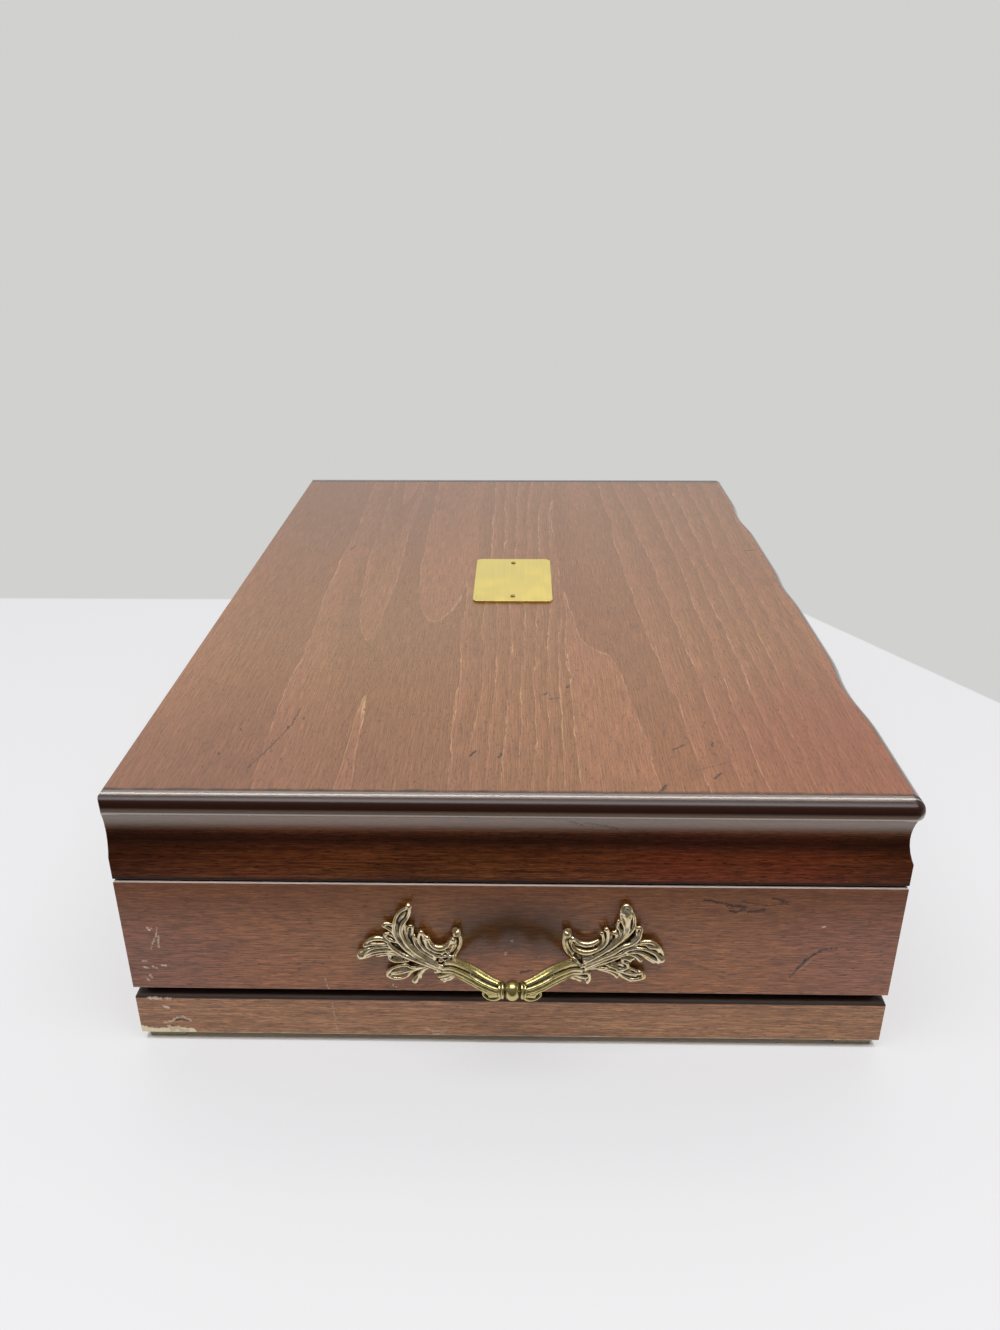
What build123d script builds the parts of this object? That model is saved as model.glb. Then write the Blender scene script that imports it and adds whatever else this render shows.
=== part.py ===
"""Silverware chest: moulded lid, box and base frame, cast end pulls, hinges and inner racks.

Millimetres.  +Z is up and Z = 0 is the table under the felt pads.  +X runs along the length.
The front, where the lid opens, faces -Y and the hinges are at +Y.  The origin is the middle of
the overall outline on the table.
"""

import os
from math import cos, radians, sin

from build123d import *

# Driving sizes of the case.
LENGTH = 446.0
DEPTH = 305.0
WALL = 14.0
PAD_THICK = 3.4
BASE_HEIGHT = 20.5
BASE_WALL = 17.0
BASE_ROUND = 1.4
BASE_BEVEL = 0.8
PANEL_THICK = 3.5
PANEL_INSET = 4.0
BAND_HEIGHT = 53.5
SEAM_GAP = 0.8
EDGE_BEVEL = 0.7

# Moulded lid.
FASCIA_HEIGHT = 9.7
COVE_HEIGHT = 19.5
COVE_DEPTH = 2.2
COVE_TOP_INSET = 0.9
TOP_THICK = 7.5
TOP_OVERHANG = 1.5
TOP_ROUND = 4.2
TOP_UNDER_ROUND = 2.2
TOP_CORNER = 4.8

# Serpentine of the front edge: two wide hollows and a shallow one in the middle.
SIDE_HOLLOW_AT = 129.0
SIDE_HOLLOW_HALF = 37.5
SIDE_HOLLOW_DEEP = 2.3
MID_HOLLOW_HALF = 30.0
MID_HOLLOW_DEEP = 1.4

# Stop hinges.
HINGE_AT = 130.0
HINGE_LONG = 50.0
LEAF_THICK = 1.2
LEAF_REACH = 10.5
LEAF_SPACE = 0.3
KNUCKLE_R = 2.6
KNUCKLE_COUNT = 5
KNUCKLE_SPACE = 0.3
KNUCKLE_CLEAR = 0.25
PIN_R = 1.2
PIN_PLAY = 0.05
PIN_HEAD = 0.8
PIN_HEAD_LIP = 0.6
STOP_ROOT = 0.5
STOP_REACH = 5.4
STOP_WIDTH_DEG = 24.0
OPEN_DEG = 95.0
STOP_CLEAR_DEG = 3.0
MORTISE_CLEAR = 0.1

# Screws of the hinges.
WOOD_SCREW_R = 1.2
WOOD_SCREW_HEAD_R = 2.2
WOOD_SCREW_LONG = 9.0
WOOD_SCREW_PITCH = 17.0
WOOD_SCREW_FROM_EDGE = 4.6
HOLE_PLAY = 0.05

# Cast pull, measured from its own centre on the end face.
PULL_HEIGHT = 44.0
PULL_ROOM = 100.0
PULL_SHIFT = 1.7
PULL_POST_HALF = 38.1
PULL_POST_UP = 5.0
BOSS_R = 4.6
BOSS_HIGH = 4.8
ARM_R = 2.4
ARM_ROOT = (23.5, 0.4, 3.2)
ARM_MID = (12.0, 0.6, 13.0)
BEAD_OUT = 18.8
BEAD_DROP = 2.3
BEAD_R = 3.8
COLLAR_R = 3.3
COLLAR_WIDE = 1.5
COLLAR_OUT = 0.45
PULL_SCREW_R = 2.0
PULL_SCREW_HEAD_R = 4.0
PULL_SCREW_HEAD = 2.4
PULL_THREAD_DEPTH = 3.6

# Name plate.
PLATE_LONG = 67.5
PLATE_WIDE = 43.0
PLATE_THICK = 1.0
PLATE_CORNER = 3.5
PLATE_SHIFT = 7.0
PLATE_PIN_HALF = 26.5
PLATE_PIN_R = 0.6
PLATE_PIN_HEAD_R = 1.3
PLATE_PIN_HEAD = 0.6
PLATE_PIN_HEAD_ROUND = 0.4
PLATE_PIN_LONG = 5.0

# Felt pads and glue blocks.
PAD_SIZE = 15.0
PAD_INSET = 2.5
BLOCK_LEG = 24.0
BLOCK_GAP = 2.0

# Linings and racks.
LINING = 1.5
LINING_BELOW_RIM = 1.5
RACK_GAP = 0.3
RACK_THICK = 18.0
RACK_HEIGHT = 30.0
STACK_COUNT = 8
STACK_PITCH = 48.0
STACK_WIDE = 32.0
STACK_DEEP = 20.0
STACK_CORNER = 7.0
REAR_RACK_FROM_BACK = 56.0
FRONT_RACK_FROM_BACK = 150.0
DIVIDER_THICK = 6.0
DIVIDER_ROUND = 1.5
DIVIDER_HEIGHT = 32.0
DIVIDER_FROM_BACK = 206.0
KNIFE_COUNT = 12
KNIFE_PITCH = 32.0
KNIFE_SLOT = 5.0
KNIFE_SLOT_DEEP = 17.0
BLADE_RACK_THICK = 30.0
BLADE_RACK_HEIGHT = 22.0
BLADE_RACK_FROM_BACK = 60.0
REST_THICK = 18.0
REST_HEIGHT = 15.0
REST_NOTCH = 18.0
REST_NOTCH_DEEP = 9.0
REST_NOTCH_CORNER = 6.0
REST_FROM_BACK = 220.0

# How far a cutter runs past the stock, and the tolerance of a test of place.
CUT_PAST = 1.0
NEAR = 0.01

# Places worked out from the sizes above.
HALF = LENGTH / 2
HOLLOW_REACH = max(SIDE_HOLLOW_DEEP, MID_HOLLOW_DEEP) + CUT_PAST
HINGE_AXIS_OUT = KNUCKLE_R + KNUCKLE_CLEAR
HINGE_REACH = HINGE_AXIS_OUT + STOP_REACH * cos(radians((OPEN_DEG + STOP_CLEAR_DEG) / 2))
FRONT = TOP_OVERHANG - (TOP_OVERHANG + DEPTH + HINGE_REACH) / 2
BACK = FRONT + DEPTH
MID_Y = (FRONT + BACK) / 2
BASE_TOP = PAD_THICK + BASE_HEIGHT
PANEL_TOP = BASE_TOP + PANEL_THICK
RIM = PANEL_TOP + BAND_HEIGHT
LID_LOW = RIM + SEAM_GAP
ARRIS = LID_LOW + FASCIA_HEIGHT
RAIL_TOP = ARRIS + COVE_HEIGHT
TOP = RAIL_TOP + TOP_THICK
HINGE_Y = BACK + HINGE_AXIS_OUT
HINGE_Z = RIM + SEAM_GAP / 2
INNER_HALF = HALF - WALL - LINING
INNER_BACK = BACK - WALL - LINING
FLOOR = PANEL_TOP + LINING
CEILING = RAIL_TOP - LINING
RACK_LONG = 2 * (INNER_HALF - RACK_GAP)


def block(x0, x1, y0, y1, z0, z1):
    """A box between three pairs of limits."""
    centre = ((x0 + x1) / 2, (y0 + y1) / 2, (z0 + z1) / 2)
    return Pos(*centre) * Box(x1 - x0, y1 - y0, z1 - z0)


def upright(plan, low, high):
    """A plan face raised between two heights."""
    return extrude(Pos(0, 0, low) * plan, amount=high - low, dir=(0, 0, 1))


def along_x(radius, x0, x1, y, z):
    """A round bar along the length."""
    return Pos((x0 + x1) / 2, y, z) * Rot(0, 90, 0) * Cylinder(radius, x1 - x0)


# ---------------------------------------------------------------- plan outlines


def hollow_edges(centre, half, deep, y):
    """Three tangent arcs that dip inwards over one hollow of the serpentine."""
    start = (centre - half, y)
    rise = (centre - half / 2, y + deep / 2)
    fall = (centre + half / 2, y + deep / 2)
    end = (centre + half, y)
    first = TangentArc(start, rise, tangent=(1, 0))
    middle = TangentArc(rise, fall, tangent=first % 1)
    last = TangentArc(fall, end, tangent=middle % 1)
    return [first, middle, last]


def serpentine(inset, x_limit):
    """Edges of the front line from left to right, moved inwards by the inset."""
    y = FRONT + inset
    hollows = [(-SIDE_HOLLOW_AT, SIDE_HOLLOW_HALF, SIDE_HOLLOW_DEEP),
               (0, MID_HOLLOW_HALF, MID_HOLLOW_DEEP),
               (SIDE_HOLLOW_AT, SIDE_HOLLOW_HALF, SIDE_HOLLOW_DEEP)]
    edges = []
    x = -x_limit
    for centre, half, deep in hollows:
        edges.append(Line((x, y), (centre - half, y)))
        edges += hollow_edges(centre, half, deep, y)
        x = centre + half
    edges.append(Line((x, y), (x_limit, y)))
    return edges


def plan_face(edges, closing_points):
    """A plan face from the serpentine and straight lines back to its start."""
    points = [edges[-1] @ 1, *closing_points, edges[0] @ 0]
    closing = [Line(a, b) for a, b in zip(points, points[1:])]
    return make_face(Wire([*edges, *closing]))


def front_plan(wall):
    """Front board: serpentine outside, straight inside, mitred at both ends."""
    edges = serpentine(0, HALF)
    return plan_face(edges, [(HALF - wall, FRONT + wall), (-HALF + wall, FRONT + wall)])


def end_plan(wall):
    """Left end board: mitred at the front, square at the back."""
    points = [(-HALF, FRONT), (-HALF + wall, FRONT + wall), (-HALF + wall, BACK), (-HALF, BACK)]
    return make_face(Polyline(*points, close=True))


def mirrored(shape):
    """The same piece on the right-hand end."""
    return mirror(shape, about=Plane.YZ)


def edges_on(shape, test):
    """Edges of a shape whose centre passes a test."""
    return [edge for edge in shape.edges() if test(edge, edge.center())]


def is_level(edge):
    """True for an edge that lies in one level plane."""
    return edge.bounding_box().size.Z < NEAR


def rim_edges(solid, *heights):
    """Level edges on the outer outline of the case at the given heights."""
    def on_rim(edge, centre):
        box = edge.bounding_box()
        at_front = box.max.Y < FRONT + HOLLOW_REACH
        at_back = box.min.Y > BACK - NEAR
        at_end = box.min.X > HALF - NEAR or box.max.X < NEAR - HALF
        at_height = any(abs(centre.Z - z) < NEAR for z in heights)
        return is_level(edge) and at_height and (at_front or at_back or at_end)

    return edges_on(solid, on_rim)


# ---------------------------------------------------------------- base and box


def case_boards(wall, low, high, finish):
    """Front, left, right and back boards of one layer, each with its outer edges finished."""
    front = finish(upright(front_plan(wall), low, high))
    left = finish(upright(end_plan(wall), low, high))
    back = finish(block(wall - HALF, HALF - wall, BACK - wall, BACK, low, high))
    return front, left, mirrored(left), back


def base_boards():
    """Base frame with a rounded top edge and a small bevel underneath."""
    def finish(board):
        board = fillet(rim_edges(board, BASE_TOP), BASE_ROUND)
        return chamfer(rim_edges(board, PAD_THICK), BASE_BEVEL)

    front, left, right, back = case_boards(BASE_WALL, PAD_THICK, BASE_TOP, finish)
    return {"base_front": front, "base_left": left, "base_right": right, "base_back": back}


def bottom_panel():
    """Thin panel that shows as a recessed line between the base and the box."""
    edges = serpentine(PANEL_INSET, HALF - PANEL_INSET)
    back_y = BACK - PANEL_INSET
    side = HALF - PANEL_INSET
    return upright(plan_face(edges, [(side, back_y), (-side, back_y)]), BASE_TOP, PANEL_TOP)


def corner_blocks():
    """Four triangular glue blocks inside the base frame."""
    inner_x = HALF - BASE_WALL
    high = BASE_TOP
    blocks = []
    for sx in (-1, 1):
        for y, sy in ((FRONT + BASE_WALL, 1), (BACK - BASE_WALL, -1)):
            corner = (sx * inner_x, y)
            tri = Polyline(corner, (sx * (inner_x - BLOCK_LEG), y), (sx * inner_x, y + sy * BLOCK_LEG),
                           close=True)
            blocks.append(upright(make_face(tri), PAD_THICK + BLOCK_GAP, high))
    return blocks


def felt_pads():
    """Four square felt pads under the corners of the base frame."""
    pads = []
    for sx in (-1, 1):
        for y0 in (FRONT + PAD_INSET, BACK - PAD_INSET - PAD_SIZE):
            x0 = sx * (HALF - PAD_INSET - PAD_SIZE / 2) - PAD_SIZE / 2
            pads.append(block(x0, x0 + PAD_SIZE, y0, y0 + PAD_SIZE, 0, PAD_THICK))
    return pads


def box_boards():
    """Boards of the box, bevelled all round, with the holes and beds of their fittings."""
    def finish(board):
        return chamfer(rim_edges(board, PANEL_TOP, RIM), EDGE_BEVEL)

    front, left, right, back = case_boards(WALL, PANEL_TOP, RIM, finish)
    left -= pull_screws(-1, HOLE_PLAY)
    right -= pull_screws(1, HOLE_PLAY)
    back = fitted_for_hinges(back, -1)
    return {"box_front": front, "box_left_end": left, "box_right_end": right, "box_back": back}


def fitted_for_hinges(board, side):
    """A back board with beds for the leaves and holes for their screws."""
    board -= leaf_mortises(side)
    board -= [hinge_screw(x, y, side, HOLE_PLAY) for x, y in hinge_screw_places()]
    return board


# ---------------------------------------------------------------- lid


def moulding_profile(wall, extra):
    """Section of a lid rail in (outwards, height), its outer face at zero."""
    fascia = Line((0, LID_LOW), (0, ARRIS))
    mid = (-COVE_DEPTH, ARRIS + COVE_HEIGHT / 2)
    cove = ThreePointArc((0, ARRIS), mid, (-COVE_TOP_INSET, RAIL_TOP))
    inner = -wall - extra
    rest = [Line((-COVE_TOP_INSET, RAIL_TOP), (inner, RAIL_TOP)),
            Line((inner, RAIL_TOP), (inner, LID_LOW)),
            Line((inner, LID_LOW), (0, LID_LOW))]
    return make_face(Wire([fascia, cove, *rest]))


def lid_front_rail():
    """Front rail: the moulding swept along the serpentine, then mitred."""
    extra = HOLLOW_REACH
    path = Wire(serpentine(0, HALF))
    start = Plane(origin=(-HALF, FRONT, 0), x_dir=(0, -1, 0), z_dir=(-1, 0, 0))
    rail = sweep(start * moulding_profile(WALL, extra), path=path)
    inner = FRONT + WALL
    past = HALF + CUT_PAST
    rail -= block(-past, past, inner, inner + 2 * extra, LID_LOW - CUT_PAST, RAIL_TOP + CUT_PAST)
    mitre = [(-HALF, FRONT), (-HALF + WALL, inner), (-HALF + WALL, inner + CUT_PAST),
             (-past, inner + CUT_PAST), (-past, FRONT)]
    cutter = upright(make_face(Polyline(*mitre, close=True)), LID_LOW - CUT_PAST, RAIL_TOP + CUT_PAST)
    return rail - cutter - mirrored(cutter)


def lid_end_rail():
    """Left rail: the moulding run along the end, mitred at the front and square at the back."""
    start = Plane(origin=(-HALF, FRONT, 0), x_dir=(-1, 0, 0), z_dir=(0, 1, 0))
    rail = extrude(start * moulding_profile(WALL, 0), amount=DEPTH, dir=(0, 1, 0))
    outer = (-HALF - CUT_PAST, FRONT - CUT_PAST)
    inner = (-HALF + WALL + CUT_PAST, FRONT + WALL + CUT_PAST)
    mitre = Polyline(outer, inner, (inner[0], outer[1]), close=True)
    return rail - upright(make_face(mitre), LID_LOW - CUT_PAST, RAIL_TOP + CUT_PAST)


def lid_boards():
    """Rails of the lid."""
    left = lid_end_rail()
    back = block(WALL - HALF, HALF - WALL, BACK - WALL, BACK, LID_LOW, RAIL_TOP)
    return {"lid_front_rail": lid_front_rail(), "lid_left_rail": left, "lid_right_rail": mirrored(left),
            "lid_back_rail": fitted_for_hinges(back, 1)}


def lid_panel():
    """Top board with a bullnose on the front and both ends, flat at the back."""
    side = HALF + TOP_OVERHANG
    edges = serpentine(-TOP_OVERHANG, side)
    panel = upright(plan_face(edges, [(side, BACK), (-side, BACK)]), RAIL_TOP, TOP)
    corners = edges_on(panel, lambda edge, c: not is_level(edge) and c.Y < MID_Y)
    panel = fillet(corners, TOP_CORNER)
    corner_reach = FRONT + max(HOLLOW_REACH, TOP_CORNER)

    def nosed(height):
        def test(edge, c):
            box = edge.bounding_box()
            at_end = box.min.X > side - NEAR or box.max.X < NEAR - side
            return abs(c.Z - height) < NEAR and is_level(edge) and (c.Y < corner_reach or at_end)
        return edges_on(panel, test)

    panel = fillet(nosed(TOP), TOP_ROUND)
    panel = fillet(nosed(RAIL_TOP), TOP_UNDER_ROUND)
    for x in plate_pin_places():
        panel -= Pos(x, MID_Y, TOP - PLATE_PIN_LONG / 2) * Cylinder(PLATE_PIN_R + HOLE_PLAY, PLATE_PIN_LONG)
    return panel


def plate_pin_places():
    """Both pins stand on the plate's long axis."""
    return [PLATE_SHIFT - PLATE_PIN_HALF, PLATE_SHIFT + PLATE_PIN_HALF]


def nameplate():
    """Thin plate with rounded corners and two pin holes."""
    plate = extrude(Pos(PLATE_SHIFT, MID_Y, TOP) * RectangleRounded(PLATE_LONG, PLATE_WIDE, PLATE_CORNER),
                    amount=PLATE_THICK)
    for x in plate_pin_places():
        plate -= Pos(x, MID_Y, TOP) * Cylinder(PLATE_PIN_R + HOLE_PLAY, 2 * (PLATE_THICK + CUT_PAST))
    return plate


def nameplate_pins():
    """Small round-headed pins that hold the plate down."""
    shank_long = PLATE_PIN_LONG + PLATE_THICK - HOLE_PLAY
    pins = []
    for x in plate_pin_places():
        head_low = TOP + PLATE_THICK
        shank = Pos(x, MID_Y, head_low - shank_long / 2) * Cylinder(PLATE_PIN_R, shank_long)
        head = Pos(x, MID_Y, head_low + PLATE_PIN_HEAD / 2) * Cylinder(PLATE_PIN_HEAD_R, PLATE_PIN_HEAD)
        top_edge = edges_on(head, lambda edge, c: c.Z > head_low + PLATE_PIN_HEAD - NEAR)
        head = fillet(top_edge, PLATE_PIN_HEAD_ROUND)
        pins.append(shank + head)
    return pins


# ---------------------------------------------------------------- hinges


def hinge_centres():
    """Places of the two hinges along the back."""
    return [-HINGE_AT, HINGE_AT]


def knuckle_spans():
    """Start and end of each knuckle, from the hinge's middle."""
    pitch = HINGE_LONG / KNUCKLE_COUNT
    trim = KNUCKLE_SPACE / 2
    return [(-HINGE_LONG / 2 + i * pitch + trim, -HINGE_LONG / 2 + (i + 1) * pitch - trim)
            for i in range(KNUCKLE_COUNT)]


def leaf_mortises(side):
    """Shallow beds for the leaves, in the box (side -1) or the lid (side 1)."""
    face = RIM if side < 0 else LID_LOW
    depth_z = LEAF_THICK + LEAF_SPACE / 2 - SEAM_GAP / 2 + MORTISE_CLEAR
    half = HINGE_LONG / 2 + MORTISE_CLEAR
    y0 = BACK - LEAF_REACH - MORTISE_CLEAR
    beds = []
    for x in hinge_centres():
        low, high = sorted((face, face + side * depth_z))
        if side < 0:
            high += CUT_PAST
        else:
            low -= CUT_PAST
        beds.append(block(x - half, x + half, y0, BACK + CUT_PAST, low, high))
    return beds


def hinge_screw_places():
    """Screw places of all hinge leaves in plan."""
    y = BACK - LEAF_REACH + WOOD_SCREW_FROM_EDGE
    return [(x + dx, y) for x in hinge_centres() for dx in (-WOOD_SCREW_PITCH, 0, WOOD_SCREW_PITCH)]


def leaf_face_z(side):
    """Height of a leaf's open face, which looks at the other leaf."""
    return HINGE_Z + side * LEAF_SPACE / 2


def hinge_screw(x, y, side, play):
    """Countersunk screw, its head flush with the leaf; play widens it into its hole."""
    head_r = WOOD_SCREW_HEAD_R + play
    shank_r = WOOD_SCREW_R + play
    long = WOOD_SCREW_LONG + play
    profile = Polyline((0, 0), (head_r, 0), (shank_r, head_r - shank_r), (shank_r, long - shank_r),
                       (0, long), close=True)
    screw = revolve(Plane.XZ * make_face(profile), axis=Axis.Z)
    turn = 180 if side < 0 else 0
    return Pos(x, y, leaf_face_z(side)) * Rot(turn, 0, 0) * screw


def sector(r0, r1, centre_deg, width_deg, x0, x1):
    """Part of a ring around the hinge axis, its angle taken from +Y towards +Z."""
    ring = Circle(r1) - Circle(r0)
    far = 3 * r1
    a0 = radians(centre_deg - width_deg / 2)
    a1 = radians(centre_deg + width_deg / 2)
    wedge = make_face(Polyline((0, 0), (far * cos(a0), far * sin(a0)), (far * cos(a1), far * sin(a1)),
                               close=True))
    plane = Plane(origin=(x0, HINGE_Y, HINGE_Z), x_dir=(0, 1, 0), z_dir=(1, 0, 0))
    return extrude(plane * (ring & wedge), amount=x1 - x0)


def hinge_leaf(centre, side):
    """One leaf with its knuckles: the box leaf (side -1) or the lid leaf (side 1)."""
    spans = knuckle_spans()
    own = [span for i, span in enumerate(spans) if (i % 2 == 0) == (side < 0)]
    other = [span for i, span in enumerate(spans) if (i % 2 == 0) != (side < 0)]
    low, high = sorted((leaf_face_z(side), leaf_face_z(side) + side * LEAF_THICK))
    half = HINGE_LONG / 2
    leaf = block(centre - half, centre + half, BACK - LEAF_REACH, HINGE_Y, low, high)
    for x0, x1 in other:
        leaf -= along_x(KNUCKLE_R + KNUCKLE_CLEAR, centre + x0 - KNUCKLE_SPACE, centre + x1 + KNUCKLE_SPACE,
                        HINGE_Y, HINGE_Z)
    for x0, x1 in own:
        leaf += along_x(KNUCKLE_R, centre + x0, centre + x1, HINGE_Y, HINGE_Z)
    leaf += stop_of(centre, side, own)
    bore = half + CUT_PAST
    leaf -= along_x(PIN_R + PIN_PLAY, centre - bore, centre + bore, HINGE_Y, HINGE_Z)
    places = [(x, y) for x, y in hinge_screw_places() if abs(x - centre) < half]
    for x, y in places:
        leaf -= hinge_screw(x, y, side, HOLE_PLAY)
    return leaf


def stop_of(centre, side, own):
    """Stop bar of the box leaf, or the lugs of the lid leaf that meet it when the lid is open."""
    angle = side * (OPEN_DEG + STOP_WIDTH_DEG + STOP_CLEAR_DEG) / 2
    if side > 0:
        return [sector(PIN_R + STOP_ROOT, STOP_REACH, angle, STOP_WIDTH_DEG, centre + x0, centre + x1)
                for x0, x1 in own]
    bar_x0 = centre + own[0][0]
    bar_x1 = centre + own[-1][1]
    bar = [sector(KNUCKLE_R + KNUCKLE_CLEAR, STOP_REACH, angle, STOP_WIDTH_DEG, bar_x0, bar_x1)]
    webs = [sector(PIN_R + STOP_ROOT, STOP_REACH, angle, STOP_WIDTH_DEG, centre + x0, centre + x1)
            for x0, x1 in own]
    return bar + webs


def hinge_pins():
    """Pins with a small head at each end."""
    half = HINGE_LONG / 2
    pins = []
    for x in hinge_centres():
        pin = along_x(PIN_R, x - half, x + half, HINGE_Y, HINGE_Z)
        for sx in (-1, 1):
            x0, x1 = sorted((x + sx * half, x + sx * (half + PIN_HEAD)))
            pin += along_x(PIN_R + PIN_HEAD_LIP, x0, x1, HINGE_Y, HINGE_Z)
        pins.append(pin)
    return pins


# ---------------------------------------------------------------- cast pulls


# Steps of a leaf's rise: share of its height, of its length and of its width.
LEAF_STEPS = [(0, 1, 1), (0.55, 0.93, 0.8), (1, 0.72, 0.25)]


def leaf_lobe(root, tip, bow, wide, high):
    """One carved leaf: a curved lens in plan that rises to a narrow ridge."""
    start, end = Vector(*root), Vector(*tip)
    middle = (start + end) / 2
    normal = (end - start).rotate(Axis.Z, 90).normalized()
    crown = middle + normal * bow

    def outline(level, long_share, wide_share):
        a = crown + (start - crown) * long_share
        b = crown + (end - crown) * long_share
        half = normal * wide_share * wide / 2
        left = ThreePointArc(a, crown + half, b)
        right = ThreePointArc(b, crown - half, a)
        return Pos(0, 0, level * high) * Wire([left, right])

    return Solid.make_loft([outline(*step) for step in LEAF_STEPS], ruled=True)


LEAVES = [
    # root, tip, bow to the left of root-to-tip, width, height
    ((31.0, 1.0), (41.5, 27.0), -5.0, 7.5, 6.0),
    ((38.0, 5.0), (49.0, 17.5), -1.5, 5.0, 4.6),
    ((38.0, 4.0), (57.5, 8.0), 3.2, 5.6, 4.6),
    ((33.0, 0.0), (59.5, 1.5), 4.0, 5.4, 5.0),
    ((31.0, -2.0), (50.0, 1.0), 1.6, 4.0, 3.6),
    ((25.5, -2.5), (50.5, -7.0), 2.6, 6.4, 4.6),
    ((26.0, -3.0), (42.0, -10.5), 1.2, 4.6, 4.0),
    ((32.0, 1.0), (40.0, 18.0), -3.4, 3.8, 4.8),
    ((30.0, 1.0), (36.0, 15.0), -3.0, 3.6, 4.6),
    ((28.0, 1.5), (33.5, 12.5), -2.2, 3.4, 4.4),
    ((21.5, 14.5), (35.0, 11.5), -5.6, 5.0, 5.6),
    ((22.5, -2.0), (21.5, 15.0), 2.6, 4.8, 5.0),
    ((21.0, -3.0), (42.0, 9.0), -1.0, 10.0, 6.4),
    ((22.5, -3.0), (29.0, -10.0), 1.4, 4.4, 4.2),
]

BEADS = [
    # place along, place up, height of the centre, radius
    (22.0, 14.2, 3.4, 1.8),
    (22.8, 10.6, 3.6, 1.6),
    (58.0, 2.2, 2.6, 2.3),
    (41.3, -9.8, 2.2, 1.8),
    (41.6, 26.2, 3.2, 1.8),
    (24.0, -5.4, 3.6, 2.4),
]


def pull_side():
    """Leaf cluster and arm of the pull's positive side, in (along, up, outwards)."""
    cluster = Solid.make_cylinder(BOSS_R, BOSS_HIGH, Plane((PULL_POST_HALF, PULL_POST_UP, 0)))
    for leaf in LEAVES:
        cluster = cluster.fuse(leaf_lobe(*leaf))
    for along, up, out, radius in BEADS:
        cluster = cluster.fuse(Pos(along, up, out) * Solid.make_sphere(radius, angle1=-90, angle2=90))
    root = ARM_ROOT
    end = (0, -BEAD_DROP, BEAD_OUT)
    arc = ThreePointArc(root, ARM_MID, end)
    arm = sweep(Plane(origin=root, z_dir=arc % 0) * Circle(ARM_R), path=arc)
    return cluster.fuse(arm.solid())


def pull_casting():
    """The whole pull in its own frame: along the end, up and outwards."""
    side = pull_side()
    bead = Pos(0, -BEAD_DROP, BEAD_OUT)
    middle = bead * Sphere(BEAD_R)
    for sign in (-1, 1):
        x = sign * (BEAD_R + COLLAR_OUT)
        middle += bead * Pos(x, 0, 0) * Rot(0, 90, 0) * Cylinder(COLLAR_R, COLLAR_WIDE)
    pull = middle + side + mirror(side, about=Plane.YZ)
    pull &= block(-PULL_ROOM, PULL_ROOM, -PULL_ROOM, PULL_ROOM, 0, PULL_ROOM)
    for sign in (-1, 1):
        hole = Pos(sign * PULL_POST_HALF, PULL_POST_UP, PULL_THREAD_DEPTH / 2)
        pull -= hole * Cylinder(PULL_SCREW_R + HOLE_PLAY, PULL_THREAD_DEPTH)
    return pull


def pull_plane(side):
    """Frame of a pull on the left (-1) or right (1) end: along, up, outwards."""
    return Plane(origin=(side * HALF, MID_Y + side * PULL_SHIFT, PULL_HEIGHT + PAD_THICK),
                 x_dir=(0, side, 0), z_dir=(side, 0, 0))


def pull_post_places(side):
    """Y and Z of a pull's two screws."""
    y0 = MID_Y + side * PULL_SHIFT
    z = PULL_HEIGHT + PAD_THICK + PULL_POST_UP
    return [(y0 - PULL_POST_HALF, z), (y0 + PULL_POST_HALF, z)]


def pull_screws(side, play):
    """Machine screws of one pull, pointing outwards; play widens them into their holes."""
    inner = HALF - WALL
    head = sorted((side * inner, side * (inner + PULL_SCREW_HEAD)))
    shank = sorted((side * inner, side * (HALF + PULL_THREAD_DEPTH - HOLE_PLAY)))
    return [along_x(PULL_SCREW_HEAD_R + play, *head, y, z) + along_x(PULL_SCREW_R + play, *shank, y, z)
            for y, z in pull_post_places(side)]


# ---------------------------------------------------------------- linings and racks


def box_lining():
    """Cloth-covered card on the floor and walls of the box."""
    outer = block(-HALF + WALL, HALF - WALL, FRONT + WALL, BACK - WALL, PANEL_TOP, RIM - LINING_BELOW_RIM)
    inner = block(-INNER_HALF, INNER_HALF, FRONT + WALL + LINING, INNER_BACK, FLOOR, RIM)
    return outer - inner


def lid_lining():
    """Cloth-covered card on the ceiling and walls of the lid."""
    outer = block(-HALF + WALL, HALF - WALL, FRONT + WALL, BACK - WALL, LID_LOW + LINING_BELOW_RIM, RAIL_TOP)
    inner = block(-INNER_HALF, INNER_HALF, FRONT + WALL + LINING, INNER_BACK, LID_LOW, CEILING)
    return outer - inner


def notched_bar(from_back, thick, low, high, notches, corner):
    """A bar along the length; notches is (places, width, lowest, highest), open at low or high."""
    places, wide, notch_low, notch_high = notches
    face = Pos(0, (low + high) / 2) * Rectangle(RACK_LONG, high - low)
    blind = notch_low if notch_low > low else notch_high
    notch = Pos(0, (notch_low + notch_high) / 2) * Rectangle(wide, notch_high - notch_low)
    if corner:
        notch = fillet([v for v in notch.vertices() if abs(v.Y - blind) < NEAR], corner)
    for x in places:
        face -= Pos(x, 0) * notch
    plane = Plane(origin=(0, INNER_BACK - from_back + thick / 2, 0), x_dir=(1, 0, 0), z_dir=(0, -1, 0))
    return extrude(plane * face, amount=thick)


def spread(count, pitch):
    """Evenly spaced places about the middle."""
    return [(i - (count - 1) / 2) * pitch for i in range(count)]


def stack_rack(from_back):
    """Notched bar that carries stacks of forks and spoons."""
    high = FLOOR + RACK_HEIGHT
    notches = (spread(STACK_COUNT, STACK_PITCH), STACK_WIDE, high - STACK_DEEP, high)
    return notched_bar(from_back, RACK_THICK, FLOOR, high, notches, STACK_CORNER)


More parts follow.
